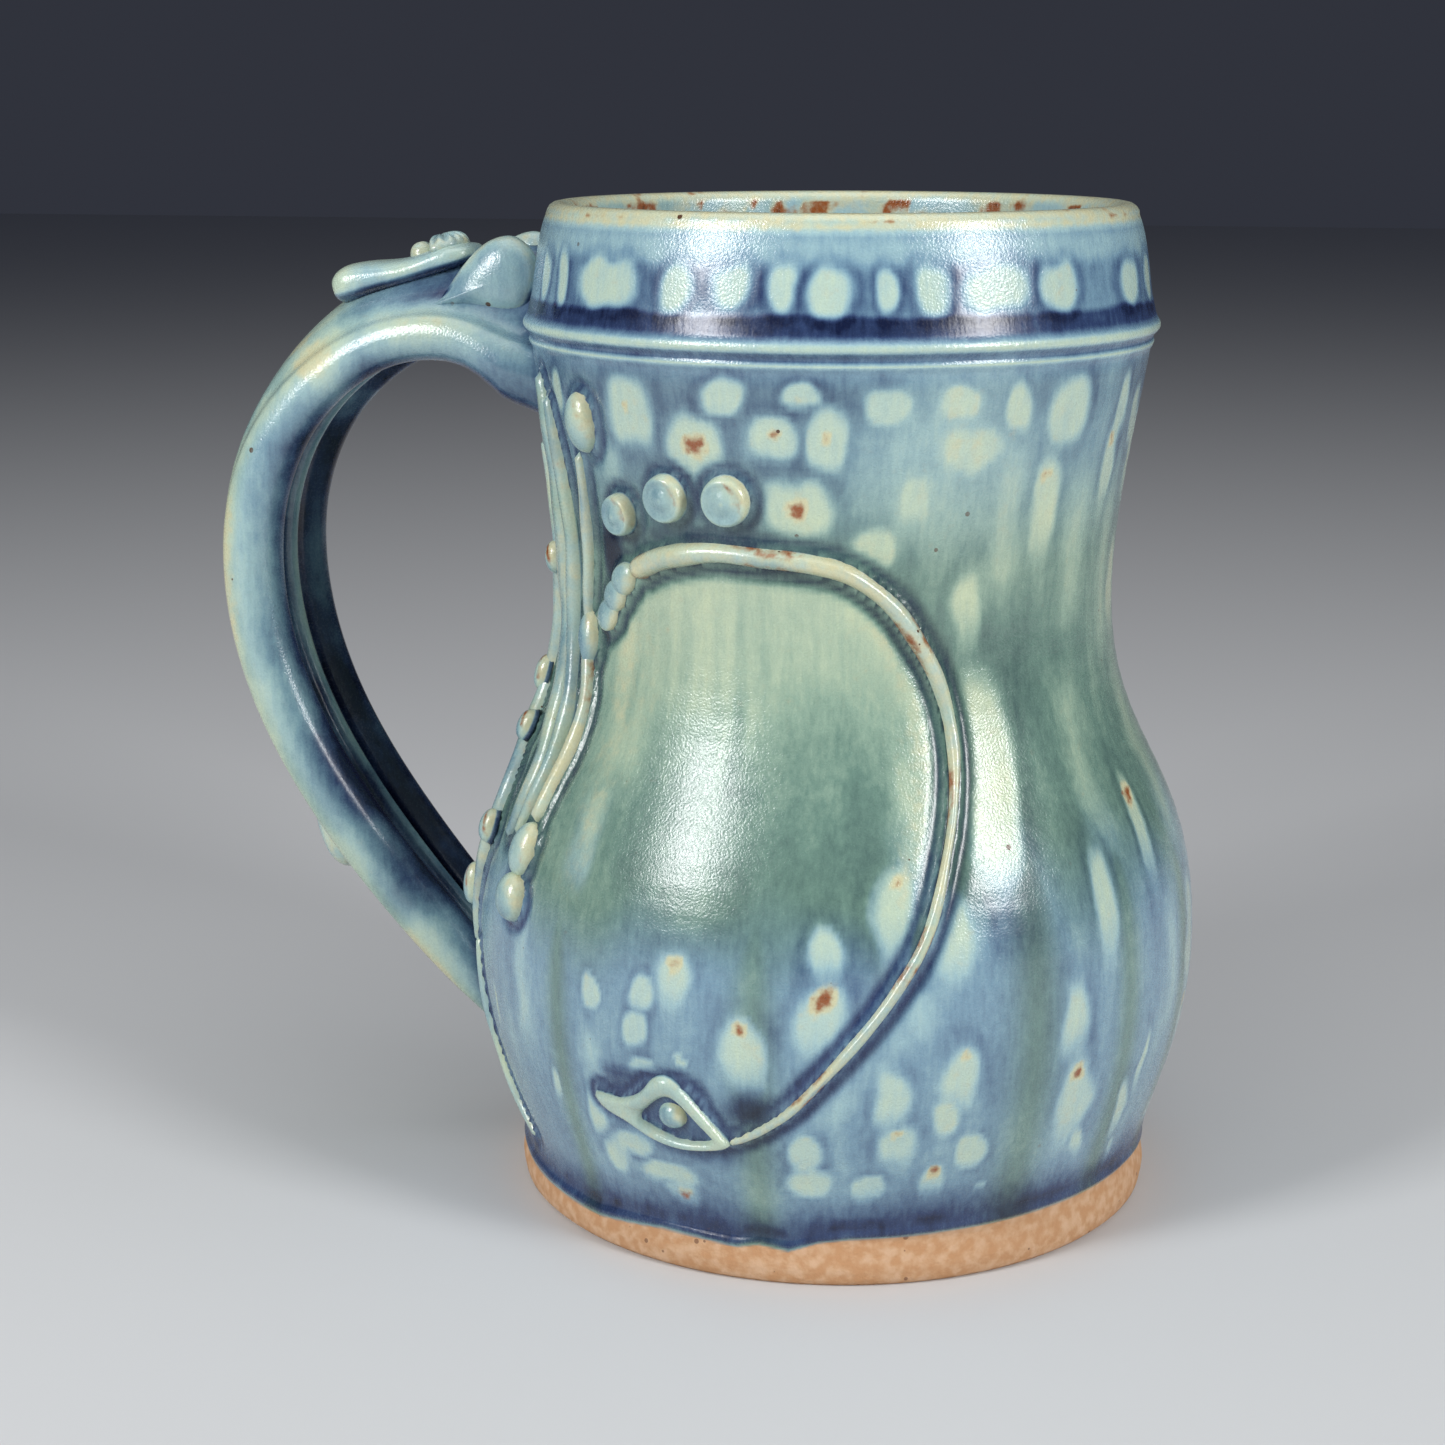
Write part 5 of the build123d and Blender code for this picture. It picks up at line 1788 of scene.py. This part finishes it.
def sprigs() -> list[Coil | Pod | EyeLeaf]:
    """Everything rolled or pressed on the wall, in the order it was laid.

    Returns:
        The coils, pods and the eye leaf.
    """
    vine = [(57.0, 96.6), (62.0, 98.4), (67.5, 99.6), (76.0, 100.6), (86.0, 100.3), (96.0, 99.6),
            (103.0, 98.0), (110.5, 93.9),
            (115.5, 89.0), (119.0, 84.4), (121.1, 79.0), (121.4, 73.0), (119.8, 66.8), (117.2, 60.4),
            (113.6, 51.8),
            (109.2, 45.2), (104.0, 38.7), (95.0, 28.8), (90.5, 25.2), (86.8, 23.0),
            (84.2, 21.9)]
    widths = np.interp(np.arange(len(vine)), [0, 4, 9, 13, 16, 20], [3.4, 2.7, 2.2, 1.9, 1.5, 1.0])
    prouds = np.interp(np.arange(len(vine)), [0, 4, 9, 13, 16, 20], [1.9, 1.7, 1.5, 1.2, 1.0, 0.6])
    pieces: list[Coil | Pod | EyeLeaf] = [
        Coil("flank_strand",
             [(20, 112, 2.2, 1.2), (17, 100, 3.0, 1.6), (15, 88, 3.0, 1.7), (15, 76, 3.0, 1.7),
              (19, 68, 3.0, 1.7),
                              (24, 61, 3.0, 1.7), (23, 52, 2.8, 1.6), (19, 44, 2.4, 1.4),
                              (18, 36, 1.6, 0.9)], thin=0.24, seed=3),
        Coil("left_twist",
             [(28, 122, 2.4, 1.2), (29, 112, 3.8, 1.7), (28.5, 102, 4.0, 1.8), (28, 92, 4.0, 1.8),
                            (31, 82, 4.0, 1.8), (33, 74, 3.8, 1.8), (35, 65, 3.4, 1.6), (33, 56, 1.6, 0.9)],
             green=0.40, thin=0.22, weave=0.45, seed=4),
        Coil("right_twist",
             [(31, 119, 1.8, 1.1), (33.5, 109, 2.8, 1.6), (33.6, 99, 3.0, 1.7), (34, 89, 3.0, 1.7),
                             (36.2, 79, 3.0, 1.7), (38.2, 71, 2.8, 1.7), (38.6, 63, 2.6, 1.5),
                             (37, 57, 1.6, 0.9)],
             green=0.40, thin=0.26, weave=0.4, seed=5),
        Coil("bud_stem",
             [(43, 112, 1.6, 1.0), (42.5, 105, 2.0, 1.2), (42, 98, 2.0, 1.3), (40.6, 91, 1.9, 1.2),
                          (40.6, 87, 1.5, 0.9)], seed=6),
        Coil("pod_stem",
             [(41, 84, 2.0, 1.2), (43.4, 78, 2.4, 1.4), (43.8, 71, 2.4, 1.5), (42.6, 65, 2.4, 1.5),
                          (42, 60, 2.4, 1.5)], warm=0.6, iron=0.4, seed=8),
        Coil("vine", [(a, z, w, p) for (a, z), w, p in zip(vine, widths, prouds)], green=0.2, warm=0.55,
             iron=0.55, seed=9),
        Coil("foot_strand",
             [(21, 38, 1.4, 0.8), (22.5, 30, 2.0, 1.1), (24, 22, 2.0, 1.1), (28, 14, 1.8, 0.9),
                             (34, 9.8, 1.2, 0.5)], warm=0.1, iron=0.0, seed=10),
        Pod("oval_bud", 46.0, 116.4, 8.6, 6.2, 2.3, iron=0.25),
        Pod("pointed_bud", 41.5, 85.5, 8.0, 4.2, 1.9, turn=6.0, pointed=0.45, tip=-1.0),
        Pod("stem_pod", 41.0, 56.0, 8.2, 5.4, 2.2, turn=-8.0),
        Pod("lower_bead", 40.5, 49.2, 7.2, 6.4, 2.6, iron=0.1),
        Pod("tail_leaf", 6.0, 17.0, 15.0, 7.5, 2.4, iron=0.0),
        EyeLeaf(),
        Pod("eye_bead", 75.6, 25.1, 3.9, 4.2, 1.6, iron=0.0),
    ]
    for index, (angle, height,
                length) in enumerate([(17.0, 94.3, 5.0), (14.5, 76.3, 5.8), (20.0, 69.2, 5.0),
                                                      (25.0, 55.5, 5.0), (17.5, 45.0, 6.4)], start=1):
        pieces.append(Pod(f"flank_pod_{index}", angle, height, length, 3.6, 1.6, lift=1.2, iron=0.7))
    for index, (angle, height) in enumerate([(53.6, 95.2), (50.6, 92.6), (47.9, 89.6)], start=1):
        pieces.append(Pod(f"vine_scale_{index}", angle, height, 5.4, 4.3, 1.5 - 0.15 * index, turn=-48.0,
                          iron=0.15))
    for index, (angle, height,
                size) in enumerate([(55.0, 104.5, 5.6), (67.0, 107.6, 6.4), (79.5, 107.9, 6.6)], start=1):
        pieces.append(Pod(f"button_bead_{index}", angle, height, size * 1.06, size, 2.3, button=True,
                          iron=0.5))
    return pieces


def main() -> None:
    """Build the stein, its studio and the camera, and report each piece."""
    logging.basicConfig(level=logging.INFO, format="%(message)s")
    studio = Studio()
    studio.camera()
    studio.floor()
    studio.light()
    wall = WallShape()
    pressed = sprigs()
    vine = next(piece for piece in pressed if piece.name == "vine")
    line = sorted((height, angle) for angle, height, *_ in vine.course if angle > 85.0)
    ThrownBody(wall, [piece.footprint(wall) for piece in pressed], line).build()
    handle = PulledHandle(wall)
    handle.build()
    trim = HandleTrim(handle)
    trim.thumb_rest()
    trim.comb()
    trim.bead()
    trim.shoulder_leaf(Flank.NEAR)
    trim.shoulder_leaf(Flank.FAR)
    trim.spur()
    for piece in pressed:
        piece.build(wall)


if __name__ == "__main__":
    main()
